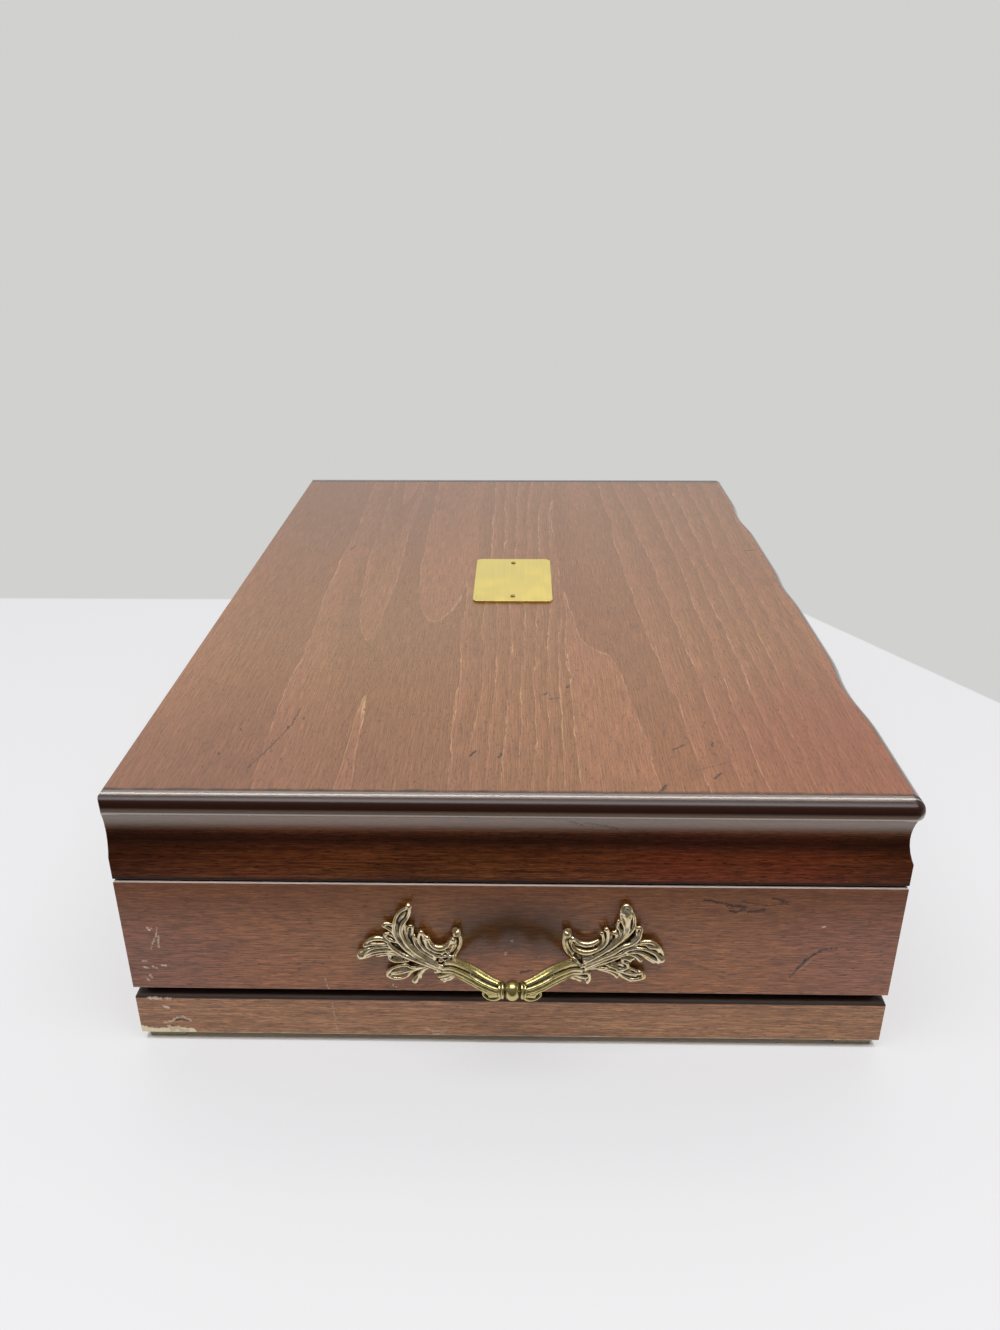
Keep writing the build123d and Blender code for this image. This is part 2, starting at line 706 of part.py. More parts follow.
def tray_divider():
    """Upright wall of the compartment for serving pieces."""
    y = INNER_BACK - DIVIDER_FROM_BACK
    half = RACK_LONG / 2
    high = FLOOR + DIVIDER_HEIGHT
    wall = block(-half, half, y - DIVIDER_THICK / 2, y + DIVIDER_THICK / 2, FLOOR, high)
    top_edges = edges_on(wall, lambda edge, c: c.Z > high - NEAR and abs(c.X) < NEAR)
    return fillet(top_edges, DIVIDER_ROUND)


def knife_blade_rack():
    """Slotted bar in the lid for the blades."""
    low = CEILING - BLADE_RACK_HEIGHT
    notches = (spread(KNIFE_COUNT, KNIFE_PITCH), KNIFE_SLOT, low, low + KNIFE_SLOT_DEEP)
    return notched_bar(BLADE_RACK_FROM_BACK, BLADE_RACK_THICK, low, CEILING, notches, 0)


def knife_handle_rest():
    """Notched bar in the lid for the handles."""
    low = CEILING - REST_HEIGHT
    notches = (spread(KNIFE_COUNT, KNIFE_PITCH), REST_NOTCH, low, low + REST_NOTCH_DEEP)
    return notched_bar(REST_FROM_BACK, REST_THICK, low, CEILING, notches, REST_NOTCH_CORNER)


# ---------------------------------------------------------------- the chest


def chest():
    """Every node of the chest by name."""
    nodes = {}
    nodes.update(base_boards())
    nodes["bottom_panel"] = bottom_panel()
    nodes["base_corner_blocks"] = corner_blocks()
    nodes["felt_pads"] = felt_pads()
    nodes.update(box_boards())
    nodes.update(lid_boards())
    nodes["lid_panel"] = lid_panel()
    nodes["nameplate"] = nameplate()
    nodes["nameplate_pins"] = nameplate_pins()
    nodes["hinge_box_leaves"] = [hinge_leaf(x, -1) for x in hinge_centres()]
    nodes["hinge_lid_leaves"] = [hinge_leaf(x, 1) for x in hinge_centres()]
    nodes["hinge_pins"] = hinge_pins()
    nodes["hinge_box_screws"] = [hinge_screw(x, y, -1, 0) for x, y in hinge_screw_places()]
    nodes["hinge_lid_screws"] = [hinge_screw(x, y, 1, 0) for x, y in hinge_screw_places()]
    casting = pull_casting()
    nodes["left_handle"] = pull_plane(-1) * casting
    nodes["right_handle"] = pull_plane(1) * casting
    nodes["handle_screws"] = pull_screws(-1, 0) + pull_screws(1, 0)
    nodes["box_lining"] = box_lining()
    nodes["lid_lining"] = lid_lining()
    nodes["rear_stack_rack"] = stack_rack(REAR_RACK_FROM_BACK)
    nodes["front_stack_rack"] = stack_rack(FRONT_RACK_FROM_BACK)
    nodes["tray_divider"] = tray_divider()
    nodes["knife_blade_rack"] = knife_blade_rack()
    nodes["knife_handle_rest"] = knife_handle_rest()
    return nodes


def write_steps():
    """One STEP file per node."""
    os.makedirs("parts", exist_ok=True)
    for name, shape in chest().items():
        solids = shape if isinstance(shape, list) else [shape]
        export_step(Compound(children=[s for item in solids for s in item.solids()]), f"parts/{name}.step")


write_steps()
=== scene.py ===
"""Silverware chest: the finished look of every piece, laid over the fixed frame.  Metres, +Z up."""
from functools import partial
from math import cos, pi, radians, sin

import bpy
import numpy as np
from mathutils import Matrix, Vector


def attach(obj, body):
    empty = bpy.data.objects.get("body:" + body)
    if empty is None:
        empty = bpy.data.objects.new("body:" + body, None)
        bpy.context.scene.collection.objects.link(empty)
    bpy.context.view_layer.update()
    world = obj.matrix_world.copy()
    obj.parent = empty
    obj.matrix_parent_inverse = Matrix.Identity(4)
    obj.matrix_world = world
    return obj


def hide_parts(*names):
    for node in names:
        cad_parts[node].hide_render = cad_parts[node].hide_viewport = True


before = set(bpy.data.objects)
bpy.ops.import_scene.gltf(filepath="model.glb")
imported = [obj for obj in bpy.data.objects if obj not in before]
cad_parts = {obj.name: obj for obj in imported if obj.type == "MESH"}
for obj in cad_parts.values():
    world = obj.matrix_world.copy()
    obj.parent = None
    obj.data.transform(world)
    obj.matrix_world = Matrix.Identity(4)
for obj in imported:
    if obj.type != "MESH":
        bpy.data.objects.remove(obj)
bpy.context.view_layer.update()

MM = 0.001
# The case in mm: half its length, its front and back, and the heights of its levels.
HALF = 223.0
FRONT, BACK = -154.946, 150.054
MID_Y = (FRONT + BACK) / 2
FOOT, BASE_TOP, PANEL_TOP, RIM, LID_LOW = 3.4, 23.9, 27.4, 80.9, 81.7
ARRIS, RAIL_TOP, TOP = 91.4, 110.9, 118.4
PULL_UP = 47.4                  # height of the pulls' centre
PULL_SHIFT = 1.7                # each pull sits a little off the middle of its end


# ------------------------------------------------------------ small helpers


def srgb(code):
    """A hex colour as the linear numbers that a socket holds."""
    parts = [int(code[i:i + 2], 16) / 255 for i in (1, 3, 5)]
    return (*(p / 12.92 if p <= 0.04045 else ((p + 0.055) / 1.055) ** 2.4 for p in parts), 1.0)


def add_node(tree, kind, feeds=(), out=0, stops=(), **settings):
    """Adds one node with its settings and ramp stops, and returns one output.

    kind may end in the node's operation or blend. feeds holds numbers and links, by the socket's name or
    number, or as a list in the sockets' order.
    """
    kind, _, mode = kind.partition(" ")
    if mode:
        settings["blend_type" if kind == "MixRGB" else "operation"] = mode
    made = tree.nodes.new("ShaderNode" + kind)
    for name, value in settings.items():
        setattr(made, name, value)
    for count, (place, colour) in enumerate(stops):
        band = made.color_ramp.elements
        stop = band[count] if count < 2 else band.new(place)
        stop.position = place
        stop.color = srgb(colour) if isinstance(colour, str) else (colour, colour, colour, 1)
    for socket, value in (feeds.items() if isinstance(feeds, dict) else enumerate(feeds)):
        if isinstance(value, bpy.types.NodeSocket):
            tree.links.new(value, made.inputs[socket])
        else:
            made.inputs[socket].default_value = value
    return made.outputs[out] if made.outputs else None


def material(name):
    """A material, the function that adds nodes to it, and the place on the piece in mm."""
    made = bpy.data.materials.new(name)
    made.use_nodes = True
    made.node_tree.nodes.clear()
    add = partial(add_node, made.node_tree)
    return made, add, add("VectorMath SCALE", {0: add("TexCoord", out="Object"), "Scale": 1 / MM})


def link(name, data):
    """A new object in the scene."""
    made = bpy.data.objects.new(name, data)
    bpy.context.scene.collection.objects.link(made)
    return made


def pick(piece):
    """Makes one piece the only selected and active one."""
    if bpy.context.object and bpy.context.object.mode != "OBJECT":
        bpy.ops.object.mode_set(mode="OBJECT")
    bpy.ops.object.select_all(action="DESELECT")
    piece.select_set(True)
    bpy.context.view_layer.objects.active = piece


def apply_all(piece):
    """Applies every modifier of a piece."""
    pick(piece)
    for modifier in list(piece.modifiers):
        bpy.ops.object.modifier_apply(modifier=modifier.name)


def at_rest(piece):
    """Puts a piece's place and size into its mesh."""
    pick(piece)
    bpy.ops.object.transform_apply(location=True, rotation=True, scale=True)


def dress(piece, finish):
    """Gives a piece one finish."""
    piece.data.materials.clear()
    piece.data.materials.append(finish)


def stand_in(piece, name):
    """Puts a finished piece in the place of a frame node, on that node's body."""
    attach(piece, "lid" if name.startswith(("lid", "knife", "nameplate")) else "box")
    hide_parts(name)


# ------------------------------------------------------------ camera, table and lights


def camera():
    """A close view from above the left end, looking down the length of the chest."""
    pitch, yaw, roll = radians(25.18), radians(1.2006), radians(-0.2125)
    ahead = Vector((cos(yaw) * cos(pitch), sin(yaw) * cos(pitch), -sin(pitch)))
    level = ahead.cross(Vector((0, 0, 1))).normalized()
    over = level.cross(ahead)
    right = cos(roll) * level + sin(roll) * over
    up = -sin(roll) * level + cos(roll) * over
    data = bpy.data.cameras.new("view")
    data.lens, data.sensor_width, data.sensor_fit = 28.361, 36, "AUTO"
    data.clip_start, data.clip_end = 0.01, 20
    made = link("view", data)
    turn = Matrix((right, up, -ahead)).transposed().to_4x4()
    made.matrix_world = Matrix.Translation((-0.55006, -0.00653, 0.32754)) @ turn
    bpy.context.scene.camera = made


def area_light(name, place, size, watts, colour="#ffffff"):
    """A soft rectangular lamp that looks at the lid's left half; size is its width, then its length."""
    data = bpy.data.lights.new(name, "AREA")
    data.shape, data.size, data.size_y = "RECTANGLE", *size
    data.energy, data.color = watts, srgb(colour)[:3]
    made = link(name, data)
    made.location = place
    made.rotation_euler = (Vector((-0.2, 0, 0)) - Vector(place)).to_track_quat("-Z", "Y").to_euler()
    return made


def table_board():
    """White board with the foot of a pale wall drawn on it; its near edge is dark to the gloss."""
    made, add, spot = material("matt_white_board")
    along = add("SeparateXYZ", [spot])
    across = along.node.outputs[1]
    glossy = add("LightPath", out="Is Glossy Ray")
    ended = add("MapRange", [along, -285, -345], interpolation_type="SMOOTHSTEP")
    ended = add("Math MULTIPLY", [ended, glossy])
    white, glow = (add("MixRGB", [ended, srgb(tone), srgb("#1a1512")])
                   for tone in ("#ededef", "#e9e9eb"))
    lit = add("BsdfPrincipled", {"Base Color": white, "Roughness": 0.55})
    # Under the chest the board gets only the light that finds its way there.
    clear = []
    for value, middle, reach in ((along, 0, HALF - 0.4), (across, MID_Y, (BACK - FRONT) / 2 - 1)):
        gap = add("Math SUBTRACT", [value, middle])
        gap = add("Math ABSOLUTE", [gap])
        clear.append(add("Math GREATER_THAN", [gap, reach]))
    clear = add("Math MAXIMUM", clear)
    share = add("Math MULTIPLY", [clear, 0.6])
    board = add("MixShader", [share, lit, add("Emission", [glow])])
    # The wall's foot: square behind the far end, and slanting away on the right.
    slant = add("Math MULTIPLY_ADD", [across, 1.69, 650])
    foot = add("Math MINIMUM", [slant, 273])
    past = add("Math SUBTRACT", [along, foot])
    edge = add("MapRange", [past, 0, 4])
    board = add("MixShader", [edge, board, add("Emission", [srgb("#d1d1d0")])])
    # From below it is clear, so that the underside can be looked at.
    under = add("NewGeometry", out="Backfacing")
    add("OutputMaterial", [add("MixShader", [under, board, add("BsdfTransparent")])])
    return made


def stage():
    """A pale table."""
    bpy.ops.mesh.primitive_plane_add(size=1, location=(0, 0, 0))
    table = bpy.context.object
    table.name = "table"
    table.scale = (12, 12, 1)
    at_rest(table)
    dress(table, table_board())


def lights():
    """A soft lamp overhead, a pale ceiling beyond the far end and a dim near side."""
    area_light("ceiling_light", (-0.55, 0.0, 1.4), (1.8, 0.7), 18)
    # A brighter strip further along, which only the polish shows.
    strip = area_light("ceiling_strip", (0.45, 0.0, 1.4), (1.8, 0.24), 21, "#fff2e6")
    strip.visible_diffuse = False
    world = bpy.data.worlds.new("room")
    world.use_nodes = True
    bpy.context.scene.world = world
    world.node_tree.nodes.clear()
    add = partial(add_node, world.node_tree)
    along = add("SeparateXYZ", [add("TexCoord", out="Generated")])
    up = along.node.outputs[2]
    side = add("MapRange", [along, -0.4, 0.45])
    side = add("ValToRGB", [side], stops=[(0.0, 0.1), (0.45, 0.3), (1.0, 1.0)])
    over = add("MapRange", [up, 0.1, 0.35, 0.64, 0.95])
    room = add("MixRGB MULTIPLY", [1.0, side, over])
    # Polish shows a darker ceiling between the lamps.
    seen = add("LightPath", out="Is Camera Ray")
    ceiling = add("MapRange", [up, 0.6, 0.75, 0, 0.75])
    ceiling = add("Math MULTIPLY", [ceiling, seen.node.outputs["Is Glossy Ray"]])
    room = add("MixRGB", [ceiling, room, srgb("#2a241f")])
    colour = add("MixRGB", [seen, room, srgb("#d1d1d0")])
    add("OutputWorld", {"Surface": add("Background", [colour])})
    bpy.context.scene.view_settings.view_transform = "Standard"


# ------------------------------------------------------------ wood

# Turns that lay the grain along local X, the width along local Y and the depth along local Z.
FLAT_ALONG_X = (0, 0, 0)
UPRIGHT_ALONG_X = (-pi / 2, 0, 0)
UPRIGHT_ALONG_Y = (0, -pi / 2, -pi / 2)

# Count of growth rings across the lid board, in (width in mm, rings), near the left end and mid-length.
RINGS_NEAR = [
    (160, 0), (150, 0.1), (130, 0.45), (112, 0.85), (96, 1), (85, 1.15), (72, 1.5), (61, 2.02), (50, 1.88),
    (40, 1.8), (28, 1.86), (21, 2), (17, 2.5), (12, 3), (6, 4), (0, 5), (-6, 6), (-12, 7), (-18, 8),
    (-24, 9), (-30, 10.02), (-38, 10.25), (-48, 10.3), (-57, 10.02), (-62, 9.9), (-70, 9.75), (-77, 10),
    (-84, 10.6), (-91, 11), (-96, 11.5), (-100, 12), (-106, 12.6), (-110, 13), (-117, 14), (-124, 15),
    (-134, 16), (-145, 17), (-160, 17.8)]
RINGS_MID = [
    (160, 0.2), (150, 0.3), (130, 0.7), (118, 0.78), (100, 1), (90, 1.3), (81, 2), (72, 2.3), (64, 2),
    (57, 1.93), (50, 2), (37, 2.08), (28, 2.03), (24, 2), (18, 2.5), (12, 3), (5, 4), (-2, 5), (-9, 6),
    (-16, 7), (-23, 8), (-28, 9), (-30, 10), (-40, 9.8), (-50, 9.72), (-60, 9.8), (-67, 10), (-76, 10.5),
    (-84, 11), (-92, 11.5), (-99, 12), (-108, 13), (-117, 14), (-126, 15), (-136, 16), (-148, 17),
    (-160, 17.8)]
RING_SPAN, RING_TOP = 160.0, 18.0
RING_STEP = 0.5                 # mm over which the count's slope is taken


def ring_profile(add, width, rings):
    """Ring count at a place across the board, read off a drawn curve."""
    share = add("MapRange", [width, -RING_SPAN, RING_SPAN])
    counted = add("FloatCurve", {"Value": share})
    mapping = counted.node.mapping
    curve = mapping.curves[0]
    spots = sorted(((place + RING_SPAN) / (2 * RING_SPAN), count / RING_TOP) for place, count in rings)
    for n, spot in enumerate(spots):
        if n < len(curve.points):
            curve.points[n].location = spot
        else:
            curve.points.new(*spot)
    for point in curve.points:
        point.handle_type = "AUTO_CLAMPED"
    mapping.update()
    return add("Math MULTIPLY", [counted, RING_TOP])


def ring_count(add, run, width):
    """Rings counted across the board at a place between the two drawn curves."""
    near, mid = (ring_profile(add, width, curve) for curve in (RINGS_NEAR, RINGS_MID))
    return add("Mix", {0: run, 2: near, 3: mid}, clamp_factor=False)


def stretched_noise(add, place, size, detail=2.0, rough=0.5, shift=0.0, spread=()):
    """Noise whose spots have the given size in mm along, across and into the wood.

    spread holds two levels of the noise, and then what they become.
    """
    fitted = add("Mapping", {"Vector": place, "Scale": tuple(1 / s for s in size),
                             "Location": (shift, shift * 1.7, shift * 0.6)})
    noise = add("TexNoise", {"Vector": fitted, "Scale": 1.0, "Detail": detail, "Roughness": rough},
                out="Fac")
    return add("MapRange", [noise, *spread]) if spread else noise


def toned(add, colour, value, start, full, strength, tone):
    """A colour turned towards another tone as a value goes from start to full."""
    share = add("MapRange", [value, start, full, 0, strength])
    return add("MixRGB", [share, colour, srgb(tone)])


def flat_sawn(add, place, across, tones, seed):
    """Growth rings of a flat-sawn board: a sawtooth across it, bent by slow noise."""
    width = across
    for size, detail, rough, shift, bend in (
            ((95, 30, 30), 2.5, 0.45, 0, 4.0), ((22, 2.4, 6), 2.0, 0.55, 5, 1.5),
            ((7, 1.3, 3), 2.0, 0.6, 6, 0.7)):
        noise = stretched_noise(add, place, size, detail, rough, seed + shift, (0, 1, -bend, bend))
        width = add("Math ADD", [width, noise])
    run = add("MapRange", [add("SeparateXYZ", [place]), -190, 0], clamp=False)
    count = ring_count(add, run, width)
    beside = ring_count(add, run, add("Math ADD", [width, RING_STEP]))
    saw = add("Math FRACT", [count])
    streak = stretched_noise(add, place, (50, 1.1, 3), 3.0, 0.6, seed + 9, (0.3, 0.7, -0.5, 0.5))
    tone = add("Math ADD", [saw, streak], use_clamp=True)
    colour = add("ValToRGB", [tone], stops=zip((0.0, 0.35, 0.9), tones[1:]))
    # A thin pale line where each ring starts. The slope of the count keeps its width the same in mm.
    slope = add("Math SUBTRACT", [beside, count])
    slope = add("Math ABSOLUTE", [slope])
    slope = add("Math MULTIPLY", [slope, 1 / RING_STEP])
    slope = add("Math MAXIMUM", [slope, 0.01])
    line = add("MapRange", [add("Math DIVIDE", [saw, slope]), 0.7, 0.15])
    # The pores break it, it is faint in places, and it fades out towards the front.
    broken = stretched_noise(add, place, (9, 0.5, 2), 2.0, 0.6, seed + 4, (0.38, 0.6, 0.15, 1))
    faint = stretched_noise(add, place, (55, 7, 9), 2.0, 0.5, seed + 8, (0.38, 0.55, 0.15, 1))
    for share in (broken, faint, add("MapRange", [across, -138, -112])):
        line = add("Math MULTIPLY", [line, share])
    return add("MixRGB", [line, colour, srgb(tones[0])])


def quarter_sawn(add, place, tones, seed):
    """Straight soft streaks of a quarter-sawn edge, with a slow mottle."""
    streak = stretched_noise(add, place, (90, 1.8, 5), 4.0, 0.6, seed + 9)
    mottle = stretched_noise(add, place, (38, 14, 14), 3.0, 0.5, seed)
    tone = add("Mix", {0: 0.35, 2: streak, 3: mottle})
    return add("ValToRGB", [tone], stops=zip((0.36, 0.47, 0.55, 0.66), tones))


def nosing(add, place, high, ends, colour, seed):
    """Dark stain on the lid board's nosing, which reaches just onto the top, and a painted reflection of the
    table low on the nosing. Also where the nosing shines.
    """
    blot = stretched_noise(add, place, (4, 9, 5), 4.0, 0.6, seed + 15, (0, 1, -1.6, 1.6))
    side = add("MapRange", [high, TOP - 0.3, TOP - 0.03, 1, 0])
    blotted = add("Math ADD", [ends, blot])
    bleed = add("MapRange", [blotted, HALF - 8, HALF - 6.2])
    stain = add("Math MAXIMUM", [side, bleed])
    colour = add("MixRGB", [stain, colour, srgb("#30140a")])
    # Low on the nosing a paler colour is painted in as a reflection of the table below.
    painted_reflection_and_gloss_low = add("MapRange", [high, TOP - 3.8, TOP - 5])
    colour = add("MixRGB", [painted_reflection_and_gloss_low, colour, srgb("#7a6555")])
    # At the ends the shine sits on the roll, elsewhere on the upper nosing.
    rolled = add("ValToRGB", [add("MapRange", [ends, HALF - 7, HALF])],
                 stops=[(0.38, 0.0), (0.43, 1.0), (0.52, 1.0), (0.57, 0.0)])
    upper = add("MapRange", [high, TOP - 2.6, TOP - 1.7])
    edge = add("MapRange", [high, TOP - 0.12, TOP - 0.4])
    upper = add("Math MULTIPLY", [upper, edge])
    at_end = add("Math GREATER_THAN", [blotted, HALF - 6])
    upper = add("Mix", {0: at_end, 2: upper, 3: rolled})
    painted_reflection_and_gloss_low = add("Math MULTIPLY", [painted_reflection_and_gloss_low, 0.6])
    return colour, add("Math MAXIMUM", [upper, painted_reflection_and_gloss_low])


def band_edges(add, high, colour):
    """The box's band: painted shade towards its rim and along the edge that meets the lid, painted highlights
    on its arrises. Also where the arrises shine.
    """
    # Painted shade darkens the band towards its rim, under the lid.
    colour = toned(add, colour, high, 52, RIM, 0.6, "#63381d")
    # A painted highlight lies on the rim's arris, and painted shade on the edge that meets the lid.
    arris = add("ValToRGB", [add("MapRange", [high, RIM - 1, RIM])],
                stops=[(0.3, 0.0), (0.45, 0.9), (0.8, 0.9), (0.9, 0.0)])
    colour = add("MixRGB", [arris, colour, srgb("#f6e0d2")])
    # A painted highlight lies on the band's lower arris.
    colour = toned(add, colour, high, PANEL_TOP + 0.9, PANEL_TOP + 0.5, 0.6, "#b49c90")
    colour = toned(add, colour, high, RIM - 0.1, RIM - 0.04, 1, "#2a160d")
    rim = add("MapRange", [high, RIM - 1.6, RIM - 0.9])
    arris = add("MapRange", [high, PANEL_TOP + 0.9, PANEL_TOP + 0.5])
    return colour, rim, add("Math MAXIMUM", [arris, rim])


def rail_edges(add, high, colour):
    """The cove: painted shade in its hollow, a painted reflection of the table above it, and painted shade
    along the rail's lower edge. Also where it shines.
    """
    # Painted shade darkens the hollow of the cove.
    hollow = add("ValToRGB", [add("MapRange", [high, ARRIS - 4, RAIL_TOP])],
                 stops=[(0.0, 0.0), (0.3, 0.3), (0.5, 0.85), (0.6, 0.7), (0.72, 0.1), (1.0, 0.0)])
    colour = add("MixRGB", [hollow, colour, srgb("#260e06")])
    # A paler band above the hollow is a painted reflection of the table.
    colour = toned(add, colour, high, RAIL_TOP - 8, RAIL_TOP - 5, 0.45, "#876c55")
    # Painted shade darkens the rail's lower edge, over the seam.
    colour = toned(add, colour, high, LID_LOW + 1.8, LID_LOW + 0.5, 0.95, "#1c0e08")
    return colour, add("MapRange", [high, RAIL_TOP - 9, RAIL_TOP - 4.5, 0, 0.7])


def worn_line(add, spot, start, end, wide, strength, ragged):
    """Mask of a straight mark between two points in mm, with ragged sides."""
    start, along = Vector(start), Vector(end) - Vector(start)
    away = add("VectorMath SUBTRACT", [spot, start])
    share = add("VectorMath DOT_PRODUCT", [away, along / max(along.length_squared, 1e-6)], out="Value")
    share = add("Clamp", {"Value": share})
    foot = add("VectorMath SCALE", {0: along, "Scale": share})
    gap = add("VectorMath DISTANCE", [away, foot], out="Value")
    gap = add("Math ADD", [ragged, gap])
    return add("MapRange", [gap, wide * 0.5 + 0.25, wide * 0.5 - 0.1, 0, strength])


def stained_wood(name, kind, turn, tones, warm, rough, ior, marks=(), clouds=(), seed=0.0):
    """Fine-grained hardwood, stained brown and rubbed with a satin lacquer.

    kind is top, band, base, rail or plain. tones are hex colours from the pale start of a ring to its dull
    end, and warm is the redder stain.
    """
    made, add, spot = material(name)
    place = add("Mapping", {"Vector": spot, "Rotation": turn})
    high = add("SeparateXYZ", [spot], out=2)
    top = kind == "top"
    if top:
        colour = flat_sawn(add, place, add("SeparateXYZ", [place], out=1), tones, seed)
    else:
        colour = quarter_sawn(add, place, tones, seed)

    # Slow drift towards the redder stain, then soft patches, some of them painted shade and reflection, fine
    # fibres and short dark pores.
    drift = stretched_noise(add, place, (120, 55, 55), 2.0, 0.5, seed + 11,
                            (0.42, 0.68, 0, 0.22 if top else 0.4))
    colour = add("MixRGB", [drift, colour, srgb(warm)])
    for centre, radius, tone, strength in clouds:
        gap = add("VectorMath DISTANCE", [spot, centre], out="Value")
        share = add("MapRange", [gap, radius, 0, 0, strength], interpolation_type="SMOOTHSTEP")
        colour = add("MixRGB", [share, colour, srgb(tone)])
    fibre = stretched_noise(add, place, (16, 0.5, 0.8) if top else (7, 0.5, 0.6), 2.0, 0.6, seed + 3)
    shades = (0.76, 0.93, 1.02, 1.24) if top else (0.62, 0.9, 1.03, 1.5)
    fibre = add("ValToRGB", [fibre], stops=zip((0.37, 0.46, 0.54, 0.64), shades))
    colour = add("MixRGB MULTIPLY", [1.0, colour, fibre])
    pore = stretched_noise(add, place, (3.2, 0.34, 0.5), 1.0, 0.5, seed + 7, (0.6, 0.7, 0, 1))
    colour = add("MixRGB MULTIPLY", [pore, colour, srgb("#c0a898" if top else "#a68e80")])

    # Stain, wear, painted shade, painted highlights and painted reflection that follow the edges. shine is
    # where hands keep the lacquer polished.
    shine, rim, painted_shade_ledge = 0.0, None, None
    if top:
        ends = add("Math ABSOLUTE", [add("SeparateXYZ", [spot])])
        colour, shine = nosing(add, place, high, ends, colour, seed)
        rim = shine
    elif kind == "band":
        colour, rim, shine = band_edges(add, high, colour)
    elif kind == "rail":
        colour, shine = rail_edges(add, high, colour)
    elif kind == "base":
        # A pale line runs along the bottom arris, and the top rim is painted dark as shade under the band.
        pale_bottom_arris = stretched_noise(add, place, (6, 6, 6), 3.0, 0.6, seed)
        pale_bottom_arris = add("Math ADD", [high, pale_bottom_arris])
        colour = toned(add, colour, pale_bottom_arris, FOOT + 1.7, FOOT + 1.3, 0.95, "#d8bf9c")
        painted_shade_ledge = add("MapRange", [high, BASE_TOP - 1.7, BASE_TOP - 1.2, 0, 0.95])
        colour = add("MixRGB", [painted_shade_ledge, colour, srgb("#200d06")])
    else:
        # Lacquer has run onto the bottom board's upper arris.
        shine = add("Math GREATER_THAN", [high, PANEL_TOP - 1])

    ragged = add("TexNoise", {"Vector": spot, "Scale": 1.1, "Detail": 3.0}, out="Fac")
    ragged = add("MapRange", [ragged, 0, 1, -1, 1])
    for start, end, wide, tone, strength in marks:
        mask = worn_line(add, spot, start, end, wide, strength, ragged)
        colour = add("MixRGB", [mask, colour, srgb(tone)])

    # The lacquer has a faint orange peel and sinks into the pores.
    peel = add("TexNoise", {"Vector": spot, "Scale": 0.35, "Detail": 2.0}, out="Fac")
    sunk = add("Math MULTIPLY", [pore, -0.25])
    height = add("Math ADD", [peel, sunk])
    relief = {"Height": height, "Strength": 0.35, "Distance": 0.03 * MM}
    if top:
        # Sanding has rolled the ends of the board over, well before the nosing starts.
        roll = add("MapRange", [ends, HALF - 7, HALF - 0.5, 0, -1.3], interpolation_type="SMOOTHSTEP")
        relief["Normal"] = add("Bump", {"Height": roll, "Strength": 1.0, "Distance": MM})
    dull = add("MapRange", [drift, 0, 1, rough, rough + 0.07])
    if painted_shade_ledge:
        dull = add("Mix", {0: painted_shade_ledge, 2: dull, 3: 0.7})
    if rim:
        dull = add("Mix", {0: rim, 2: dull, 3: 0.14})
    add("OutputMaterial", [add("BsdfPrincipled", {
        "Base Color": colour, "Roughness": dull, "Normal": add("Bump", relief), "IOR": ior,
        "Coat Weight": shine, "Coat Roughness": 0.1 if top else 0.16, "Coat IOR": 3.6 if top else 2.0})])
    return made


def lines(rows, place):
    """Marks of (start, end, width in mm, colour, strength) along the points of each row."""
    return [(place(a), place(b), *look) for *look, points in rows for a, b in zip(points, points[1:])]


def on_end(rows, x=-HALF):
    """Marks on the left end, whose points lie (across, up) from its middle and its foot."""
    return lines(rows, lambda point: (x, MID_Y - point[0], point[1] + FOOT))


def on_top(rows):
    """Marks on the lid board, whose points lie (along, across)."""
    return lines(rows, lambda point: (*point, TOP))


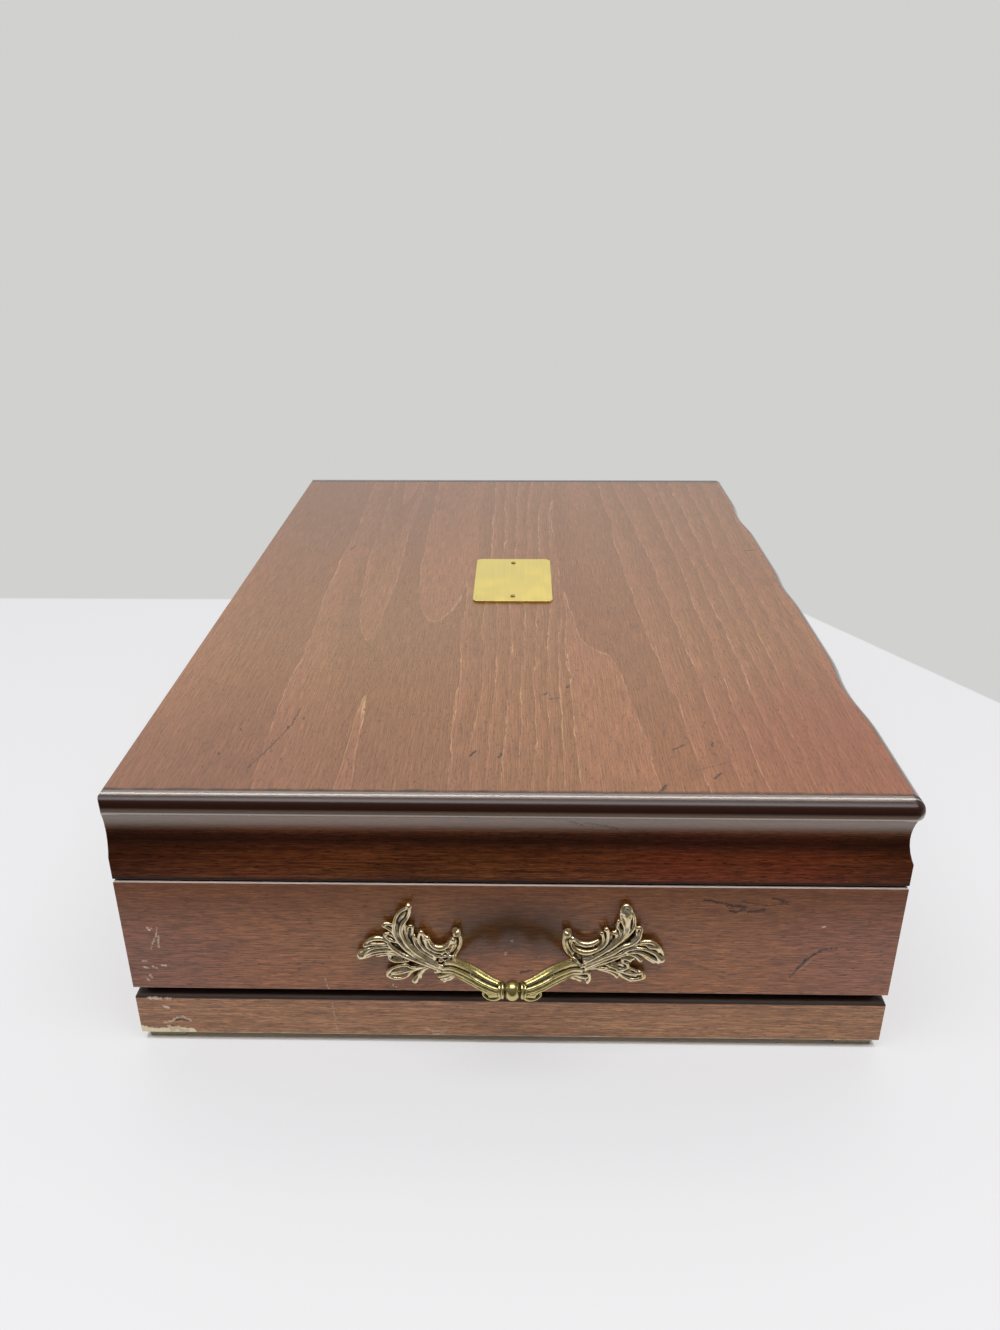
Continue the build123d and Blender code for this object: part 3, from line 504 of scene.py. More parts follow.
# Marks of use, in rows of (width in mm, colour, strength, points): bare spots, scuffs, dents and ink.
BARE, SCUFF, DENT, INK = "#e6c9b0", "#b8977f", "#2c150a", "#40200f"
BOX_MARKS = on_end([
    (0.5, BARE, 0.75, [(-142.4, 54.9), (-141.6, 53.7), (-140.8, 54.9)]),
    (0.3, BARE, 0.6, [(-138.4, 55), (-139.4, 51), (-141, 48), (-142.3, 44.4)]),
    (0.5, BARE, 0.5, [(-138.6, 51), (-139.2, 45.5)]), (0.3, BARE, 0.6, [(-146.5, 38.3), (-144.9, 38.3)]),
    (0.7, BARE, 0.7, [(-146.5, 35.2), (-145.4, 34.7)]), (0.6, BARE, 0.6, [(-142.8, 35.5), (-141.3, 35)]),
    (0.9, BARE, 0.75, [(-139.1, 36.3), (-137.5, 36.1)]), (0.6, BARE, 0.6, [(-144.7, 31.1), (-144, 30.1)]),
    (0.6, BARE, 0.6, [(-146.2, 29), (-145.5, 28.5)]),
    (0.2, SCUFF, 0.7, [(-73.8, 30.5), (-73.2, 26.9), (-72.6, 24.3)]),
    (1, SCUFF, 0.7, [(-1.2, 43.6), (-0.8, 44.6)]), (0.7, SCUFF, 0.7, [(1, 50), (1.6, 50.4)]),
    (0.9, DENT, 0.85, [(5, 34.4), (9.5, 35.6)]), (0.5, BARE, 0.7, [(-46.5, 27.3), (-45.3, 26.3)]),
    (1, DENT, 0.5, [(112.3, 33.6), (114.6, 37.8)]),
    (0.9, DENT, 0.85, [(114.6, 37.8), (117.6, 42.3), (120.8, 45.4), (123.3, 47.4)]),
    (0.5, DENT, 0.7, [(123.3, 47.4), (126.7, 48.2), (129.4, 48.2)]),
    (0.3, DENT, 0.55, [(133.4, 47.6), (136.9, 47.6)]), (0.4, SCUFF, 0.4, [(115.2, 36.6), (119.4, 42)]),
    (0.8, DENT, 0.8, [(75.6, 71.1), (79.9, 70.2), (84.6, 69.3)]),
    (1.2, DENT, 0.75, [(84.6, 68.8), (91.2, 68)]), (0.9, DENT, 0.8, [(85.6, 66), (88.4, 65.5), (90.9, 67)]),
    (1, DENT, 0.75, [(92.6, 65.6), (98.6, 66.6)]), (0.5, DENT, 0.6, [(90, 70.5), (99, 68.8), (108, 69.4)]),
    (1, DENT, 0.65, [(101.5, 72.4), (106.6, 70.5)]), (0.4, BARE, 0.7, [(122.2, 58.7), (123, 58.7)])])
BASE_MARKS = on_end([
    (4, "#f2e2bc", 1, [(-152.7, 2.4), (-149.3, 0.9), (-145.2, 0.6), (-142, 1), (-137.9, 1.4), (-134.3, 1),
        (-131.6, 0.9)]),
    (1.3, "#d8bf9c", 0.9, [(-140.7, 4), (-139.8, 1.8), (-137, 3.5), (-135.7, 1.3), (-133.1, 1.9)]),
    (1.1, BARE, 0.8, [(-141.1, 14.5), (-139.8, 14)]),
    (0.7, "#cdb096", 0.9, [(-142.1, 5.9), (-139.1, 6.7), (-136.8, 8.7), (-134.2, 9.2), (-131.2, 7.3)]),
    (0.6, DENT, 1, [(-137.4, 7.2), (-134.8, 7.9), (-132.4, 7)]),
    (0.9, BARE, 0.8, [(-147.2, 18.9), (-142.3, 18.8)]), (0.5, BARE, 0.6, [(-140.3, 18.9), (-138.2, 18.9)]),
    (0.2, "#b59880", 0.7, [(-71.9, 17.4), (-71.2, 10.5), (-70.6, 1.2)]),
    (0.5, "#c9a98c", 0.7, [(-34.3, 4.5), (-31.5, 2.9), (-26.1, 3)]),
    (0.6, "#c9a98c", 0.7, [(-30.7, 1.3), (-26.5, 1.9)]), (1, "#cbb090", 0.7, [(23, 0.6), (26.5, 0.4)]),
    (0.9, "#d6b99a", 0.8, [(125, 0.3), (134, 0.3), (141, 0.2)])])
RAIL_MARKS = [*on_end([(1, "#20110a", 0.8, [(23, 105.6), (31, 102.4)]),
                      (1.3, "#20110a", 0.7, [(29, 104.6), (41, 102.2)])], x=-221.6),
              *on_end([(0.6, "#20110a", 0.6, [(26, 106.6), (38, 106.2)])], x=-222.4)]
TOP_MARKS = on_top([
    (0.9, INK, 0.8, [(60, 97.5), (68, 95.5)]),
    (0.5, INK, 0.75, [(-200, 99), (-185, 94), (-165, 89), (-150, 88)]),
    (0.8, INK, 0.95, [(-190, 113), (-189, 113.5)]), (0.7, INK, 0.95, [(-170, 109), (-169, 109.4)]),
    (0.8, INK, 0.95, [(-168, 90), (-166.5, 90.2)]), (0.8, INK, 0.95, [(-160, 85), (-158.8, 85)]),
    (1, INK, 0.95, [(-190, 13), (-186, 11)]), (0.7, INK, 0.95, [(-191, 1.5), (-188, 0.6)]),
    (0.3, INK, 0.4, [(-182, 18.5), (-172, 17.5), (-160, 18.2)]),
    (0.8, INK, 0.95, [(-136, -17.5), (-134, -18.5)]), (0.8, INK, 0.95, [(-129, -27.6), (-127, -28.4)]),
    (0.6, INK, 0.95, [(-140, -20), (-139, -24)]), (0.9, INK, 0.95, [(-216, -59), (-211, -62)]),
    (0.8, INK, 0.95, [(-184, -68), (-180, -73)]), (0.9, INK, 0.95, [(-206, -81), (-202, -84)]),
    (0.7, INK, 0.95, [(-181, -84), (-178, -84.6)]), (0.3, INK, 0.5, [(-200, -75), (-192, -92)]),
    (0.7, INK, 0.95, [(60, -142), (62, -150)])])
# Soft patches of another colour: (centre, radius, colour, strength). Most are tone, and some are painted
# shade and reflection, as noted below.
# The three near the left end are tone and painted shade there.
TOP_CLOUDS = [((-215, 125, 118), 120, "#784a34", 0.65), ((-225, 20, 118), 90, "#80543a", 0.5),
              ((-190, -150, 118), 120, "#8a452a", 0.65), ((-60, 60, 118), 110, "#927046", 0.35),
              ((140, 110, 118), 130, "#7f5538", 0.35), ((152, 52, 118), 16, "#70472e", 0.3)]
# The first three are a painted reflection of the pull's bail above the bead, the next two painted shade round
# the pull's leaf clusters; the rest are tone.
BOX_CLOUDS = [((-223, 11, 60), 22, "#180b06", 0.85), ((-223, -4, 61), 20, "#180b06", 0.85),
              ((-223, -19, 60), 22, "#180b06", 0.85), ((-223, 42, 55), 24, "#341d12", 0.6),
              ((-223, -46, 55), 24, "#341d12", 0.6), ((-223, 150, 40), 70, "#7c4a38", 0.7),
              ((-223, 45, 62), 60, "#94602c", 0.5), ((-223, -60, 50), 70, "#956034", 0.4),
              ((-223, -150, 45), 60, "#925a44", 0.6)]
RAIL_CLOUDS = [((-222, 160, 95), 75, "#2c1208", 0.6), ((-222, -70, 88), 30, "#7a3018", 0.5),
               ((-222, -112, 92), 34, "#76301a", 0.5), ((-222, -150, 90), 30, "#4a1d10", 0.5)]


def woods():
    """Finishes of the case, one for each kind of board and way that its grain runs."""
    made = {
        "top": stained_wood("stained_mahogany_top", "top", FLAT_ALONG_X,
                            ("#c2976a", "#9d6843", "#94643a", "#8a5b32"), "#8f5a3c", 0.3, 1.5, TOP_MARKS,
                            TOP_CLOUDS, 2.0),
        # The bottom board is made near black as painted shade in the groove between the band and the base.
        "plain": stained_wood("dark_bottom_board_painted_shade", "plain", FLAT_ALONG_X,
                              ("#2a140b", "#241008", "#200e07", "#1a0b06"), "#241008", 0.6, 1.2, seed=45.0)}
    for kind, end, front, tones, warm, rough, ior, marks, clouds, seed in (
            ("band", "box_ends", "fronts", ("#a06238", "#995d35", "#925830", "#87502c"), "#8c4e34",
             0.23, 1.6, BOX_MARKS, BOX_CLOUDS, 21.0),
            ("base", "base_ends", "base_fronts", ("#b07c52", "#a87448", "#a06c42", "#94623c"), "#9a644c",
             0.23, 1.6, BASE_MARKS, (), 24.0),
            ("rail", "end_rails", "front_rails", ("#74401d", "#693a19", "#5c3013", "#4a240f"), "#7a3519",
             0.18, 1.5, RAIL_MARKS, RAIL_CLOUDS, 27.0)):
        look = (tones, warm, rough, ior)
        made[kind + "_end"] = stained_wood("stained_mahogany_" + end, kind, UPRIGHT_ALONG_Y, *look, marks,
                                           clouds, seed)
        made[kind + "_front"] = stained_wood("stained_mahogany_" + front, kind, UPRIGHT_ALONG_X, *look,
                                             seed=seed + 12)
    return made


# ------------------------------------------------------------ cast pulls

# Ribs, rims and bodies of the leaves: points of (along, up, outwards, radius) in mm from the pull's centre.
BACK_RIBS = [
    [(32.9, -3.6, 1.4, 1.2), (39.9, 2.5, 0.9, 2), (43.9, 10, 0.5, 2.5), (44, 16.5, 0.6, 2.3),
     (42.2, 20.6, 1.1, 1.7), (40.3, 23.3, 1.6, 1)],
    [(31.8, -3.4, 3.2, 0.8), (38.8, 1.4, 3.2, 0.8), (43.3, 6.4, 3.2, 0.8), (45.7, 11.2, 3, 0.8),
     (45.9, 16.5, 2.8, 0.75), (43.9, 21.7, 2.6, 0.7), (40.6, 24.4, 2.8, 0.75), (39.7, 25.3, 2.9, 1.6)],
    [(39.7, 25.3, 2.9, 1.1), (39.6, 22.8, 2.8, 0.7), (40.6, 19.5, 2.8, 0.65), (42.4, 16.7, 3, 0.8),
     (43.3, 13.4, 3.2, 0.85), (42.4, 9.5, 3.4, 0.8), (39.8, 5, 3.4, 0.8), (34.8, 0.3, 3.4, 0.8),
     (30.3, -3, 3.4, 0.8)],
    [(44.7, 16.4, 2.6, 0.5), (44.6, 12.2, 3, 0.55), (42.5, 7.4, 3.2, 0.6), (38.8, 2.7, 3.4, 0.65),
     (32.8, -1.8, 3.4, 0.7)],
    [(39.7, 20.3, 2.4, 0.5), (41.3, 17.8, 2.5, 0.55), (41.9, 14.5, 2.8, 0.55), (41.4, 10.7, 3, 0.55),
     (39.8, 6.9, 3.2, 0.6)],
    [(37.9, 4.5, 1.2, 1.5), (40, 10, 1.4, 1.3), (39.9, 13.5, 1.5, 1.1)],
    [(39.3, 10.5, 2.1, 0.5), (38.9, 12.6, 2.3, 0.55), (39.3, 15.1, 2.3, 0.7), (40.3, 15, 2.3, 0.7),
     (41, 12.7, 2.4, 0.6), (41.1, 9.4, 2.6, 0.6), (39.8, 6.7, 3, 0.65), (36.8, 3.3, 3.1, 0.7),
     (32.8, -0.1, 3.2, 0.7), (29.8, -2.4, 3.2, 0.7)],
    [(38.3, 10.7, 2.4, 0.65), (38.4, 8.4, 2.6, 0.65), (36.8, 5, 2.9, 0.7), (33.8, 2.1, 3, 0.7),
     (30.3, -0.3, 3.1, 0.7)],
    [(30.4, 1, 1.1, 1.6), (34.9, 5.5, 1.2, 1.5), (35.4, 10, 1.5, 1.1)],
    [(35.3, 12.8, 2.9, 1.15), (36.4, 11, 2.8, 0.6), (36.6, 8.5, 2.8, 0.65), (35.3, 5.5, 2.9, 0.7),
     (32.8, 3.1, 3, 0.75), (29.8, 1.2, 3.1, 0.7)],
    [(35.2, 12.2, 2.8, 0.9), (34.6, 9.8, 2.5, 0.6), (34.2, 7.3, 2.6, 0.6), (32.6, 4.9, 2.8, 0.65),
     (29.8, 3, 2.9, 0.6)],
    [(33.1, 10.2, 2.9, 1.15), (33.9, 8.5, 2.8, 0.6), (33.7, 6.4, 2.8, 0.65), (32.3, 4.5, 2.8, 0.7),
     (29.8, 3, 2.8, 0.7), (26.8, 2.4, 2.8, 0.6)],
    [(32.8, 9.7, 2.8, 0.8), (32.2, 7.8, 2.9, 0.8), (30.8, 5.9, 3, 1.1), (28.8, 5.2, 3.1, 1.3),
     (26.5, 5.7, 3.1, 1.2), (24.5, 7.7, 3, 1), (23.2, 9.0, 3.1, 1.3), (22.9, 9.6, 3.3, 1.4)],
    [(29.9, 2.5, 0.7, 2.2), (26.3, 2.5, 0.6, 2.4), (23.3, 4.5, 0.9, 2), (22.1, 8.5, 1.1, 1.7),
     (22.1, 11.5, 1.3, 1.4)],
    [(22.3, 12.9, 1.4, 1.2), (22.3, 11.9, 1.1, 1.7), (22.4, 11, 1.4, 1.2)],
    [(23, 9.2, 2.6, 1.3), (23, 8.6, 2.9, 1.6), (23, 7.8, 2.6, 1.2)],
    [(21.6, 12.6, 2.8, 2.1), (20.6, 10.8, 2.5, 0.85), (20.2, 7.6, 2.4, 0.75), (21.1, 4.4, 2.4, 0.7),
     (22.4, 2, 2.5, 0.75), (22.8, -0.4, 2.6, 0.75)],
    [(22.6, 7.1, 2.4, 0.7), (23.6, 4.5, 2.3, 0.6), (24.6, 2.5, 2.3, 0.6), (25.8, 1.6, 2.4, 0.6)],
    [(24.8, -3.6, 0.1, 3), (26.8, -0.6, 0.3, 2.8), (28.9, 0.5, 0.6, 2.4)],
    [(27.5, 1.2, 3.1, 0.5), (27.4, 2.8, 3.2, 0.55), (26.2, 3.4, 3.2, 0.55), (25.3, 2.3, 3.1, 0.5),
     (26.2, 1, 3, 0.5)],
    [(28.7, -1.3, 3.1, 0.7), (28, -0.6, 3.5, 0.95), (27.3, -0.8, 3.1, 0.7)],
    [(30.8, 1.1, 3.2, 0.6), (27.8, 1.1, 3.4, 0.6), (24.7, 1.4, 3.4, 0.6), (22.9, 0.7, 3.1, 0.6)],
    [(26.3, -1.1, 3.6, 0.6), (24.7, 0.1, 3.6, 0.6), (22.9, 0.6, 3.2, 0.6)],
    [(46.5, 4.5, 1.1, 1.6), (41.9, 1.5, 0.6, 2.3), (35.9, -1.6, 0.3, 2.8), (29.9, -4.1, 0.1, 3),
     (25.3, -5.6, 0.3, 2.8)],
    [(48.4, 7.1, 2.9, 0.8), (47.3, 5.3, 3.1, 0.95), (45.3, 3.4, 3.2, 1), (41.8, 1.2, 3.5, 1),
     (37.7, -0.8, 3.6, 0.95), (32.7, -3.2, 3.7, 0.9), (28.2, -5.6, 3.6, 0.85), (25.7, -6.9, 3.5, 0.8)],
    [(45.4, 8.6, 2.9, 0.6), (42.8, 5.3, 3.1, 0.65), (38.8, 1.5, 3.4, 0.7), (32.7, -1.9, 3.8, 0.7),
     (27.2, -4.5, 4, 0.7)],
    [(28.7, -2.6, 4.1, 0.6), (26.2, -3.8, 4.2, 0.6), (24.2, -4.2, 4.4, 0.6)],
    [(57.5, 2.5, 1, 1.8), (53.5, 4.5, 0.5, 2.5), (49, 4.5, 0.5, 2.5), (44.9, 2.5, 0.7, 2.2)],
    [(60.2, -0.2, 2, 1.8), (59.4, 1.1, 2.4, 2.3), (58.2, 2.4, 2.4, 1.5), (55.4, 4.2, 2.8, 0.65),
     (51.9, 5.1, 2.9, 0.65), (48.3, 5.2, 3, 0.6), (45.8, 3.8, 3.1, 0.6)],
    [(59.2, 0.7, 2.5, 1.5), (55.4, 2.5, 2.9, 0.6), (51.9, 3.5, 3, 0.6), (47.8, 3.7, 3.1, 0.6),
     (44.8, 2.6, 3.2, 0.6)],
    [(58.2, 0, 2.4, 1.1), (54.9, 1.2, 2.6, 0.6), (50.9, 2.2, 2.8, 0.6), (47.4, 2.4, 2.9, 0.6),
     (43.8, 1.1, 3, 0.6)],
    [(53.5, 0, 2, 0.6), (50, 1, 2.3, 0.65), (46.4, 1.5, 2.5, 0.65), (43.9, 1.2, 2.8, 0.6)],
    [(58.1, 5.3, 2.3, 0.95), (57.3, 6.8, 2.3, 0.75), (55, 8.6, 2.4, 1), (52.7, 9.2, 2.5, 1.1),
     (50.4, 8.8, 2.6, 0.85), (48.4, 7.6, 2.9, 0.7)],
    [(58.1, 5.3, 2.3, 0.95), (55.4, 6.3, 2.6, 0.7), (52.4, 6.6, 2.7, 0.65), (48.9, 6.5, 2.9, 0.6)],
    [(48.5, 14.5, 1.4, 1.3), (46, 11, 1.1, 1.6), (43.4, 6.5, 1.1, 1.6)],
    [(45.9, 11.1, 2.9, 0.6), (47.1, 13, 2.8, 0.6), (49.2, 14.8, 2.6, 0.7), (50, 15.5, 2.5, 0.95),
     (48.7, 16.3, 2.4, 0.75), (46.7, 15.2, 2.4, 0.65), (45.5, 13.5, 2.5, 0.6)],
    [(48.4, 14.4, 2.6, 0.5), (46.6, 12.2, 2.8, 0.5), (44.8, 9.7, 3, 0.5)],
    [(48.5, 9.8, 1.4, 1.2), (45.5, 7.5, 1.3, 1.4)],
    [(44.9, 7.6, 2.9, 0.6), (47.1, 8.4, 2.8, 0.7), (49.2, 9.8, 2.6, 0.7), (49.7, 11, 2.5, 0.85),
     (48.4, 11.5, 2.5, 0.65), (46.4, 10.1, 2.6, 0.6), (44.6, 8.6, 2.9, 0.6)],
    [(47, -1, 1.5, 1.1), (41.9, -2.1, 1.4, 1.2)],
    [(40.9, -1.7, 2.6, 0.6), (44.4, -2.3, 2.4, 0.65), (47.2, -2, 2.3, 0.7), (48.5, -0.6, 2.1, 0.85),
     (48, 0.4, 2.1, 0.65), (44.9, 0.5, 2.3, 0.5), (41.9, -0.4, 2.6, 0.5)],
    [(48.5, -8.6, 1.1, 1.6), (44.4, -7.6, 0.9, 1.9), (39.9, -6.1, 1.2, 1.5), (34.9, -4.8, 1.1, 1.6)],
    [(49.7, -9.4, 2.1, 1), (48, -10.8, 2.1, 0.8), (44.5, -11.1, 2.1, 0.65), (41.9, -9.8, 2.3, 0.65),
     (39.9, -7.3, 2.5, 0.65), (36.8, -5.3, 2.8, 0.65), (32.8, -3.6, 3, 0.65)],
    [(49.7, -8.7, 2.1, 0.9), (48, -6.3, 2.3, 0.7), (44.9, -4.7, 2.4, 0.65), (41.9, -4.1, 2.5, 0.75),
     (39.9, -5.2, 2.6, 0.6), (35.8, -4.2, 2.9, 0.6)],
    [(48.5, -9.2, 2.1, 0.6), (44.9, -8.5, 2.3, 0.6), (41.9, -7.3, 2.5, 0.55), (38.9, -6, 2.6, 0.55)],
    [(38.4, -11.6, 1.4, 1.3), (35.9, -7.6, 1.4, 1.2)],
    [(39, -12.7, 2, 1.3), (38.8, -11.8, 2.3, 1.6), (37.4, -9.4, 2.4, 0.8), (36.1, -7.3, 2.5, 0.7),
     (34.1, -5.3, 2.8, 0.7), (31.8, -3.9, 3, 0.7)],
    [(36.5, -10.8, 2, 0.6), (36.3, -9.1, 2.2, 0.55), (34.9, -6.8, 2.5, 0.55)],
    [(25.8, -7.3, 3.2, 0.6), (25.2, -5.7, 3.5, 0.7), (23.7, -5, 3.7, 0.75), (22.3, -5.7, 3.9, 0.7),
     (22.5, -7.3, 3.7, 0.7), (23.8, -8.1, 3.6, 0.65), (24.7, -7.3, 3.6, 0.6), (24.1, -6.5, 3.7, 0.6)],
    [(24.8, -9.6, 1.3, 1.4), (26.8, -11, 1.4, 1.2)],
    [(24.5, -8.6, 3, 0.6), (26.3, -9.6, 2.8, 0.7), (28.3, -11.1, 2.3, 0.85)],
    [(24, -9, 3, 0.6), (25.7, -10.5, 2.8, 0.7), (27.2, -12.2, 2.3, 0.8)],
    [(23, -9, 3.1, 0.6), (24.4, -10.3, 2.9, 0.7), (25.4, -11.4, 2.5, 0.65)]]
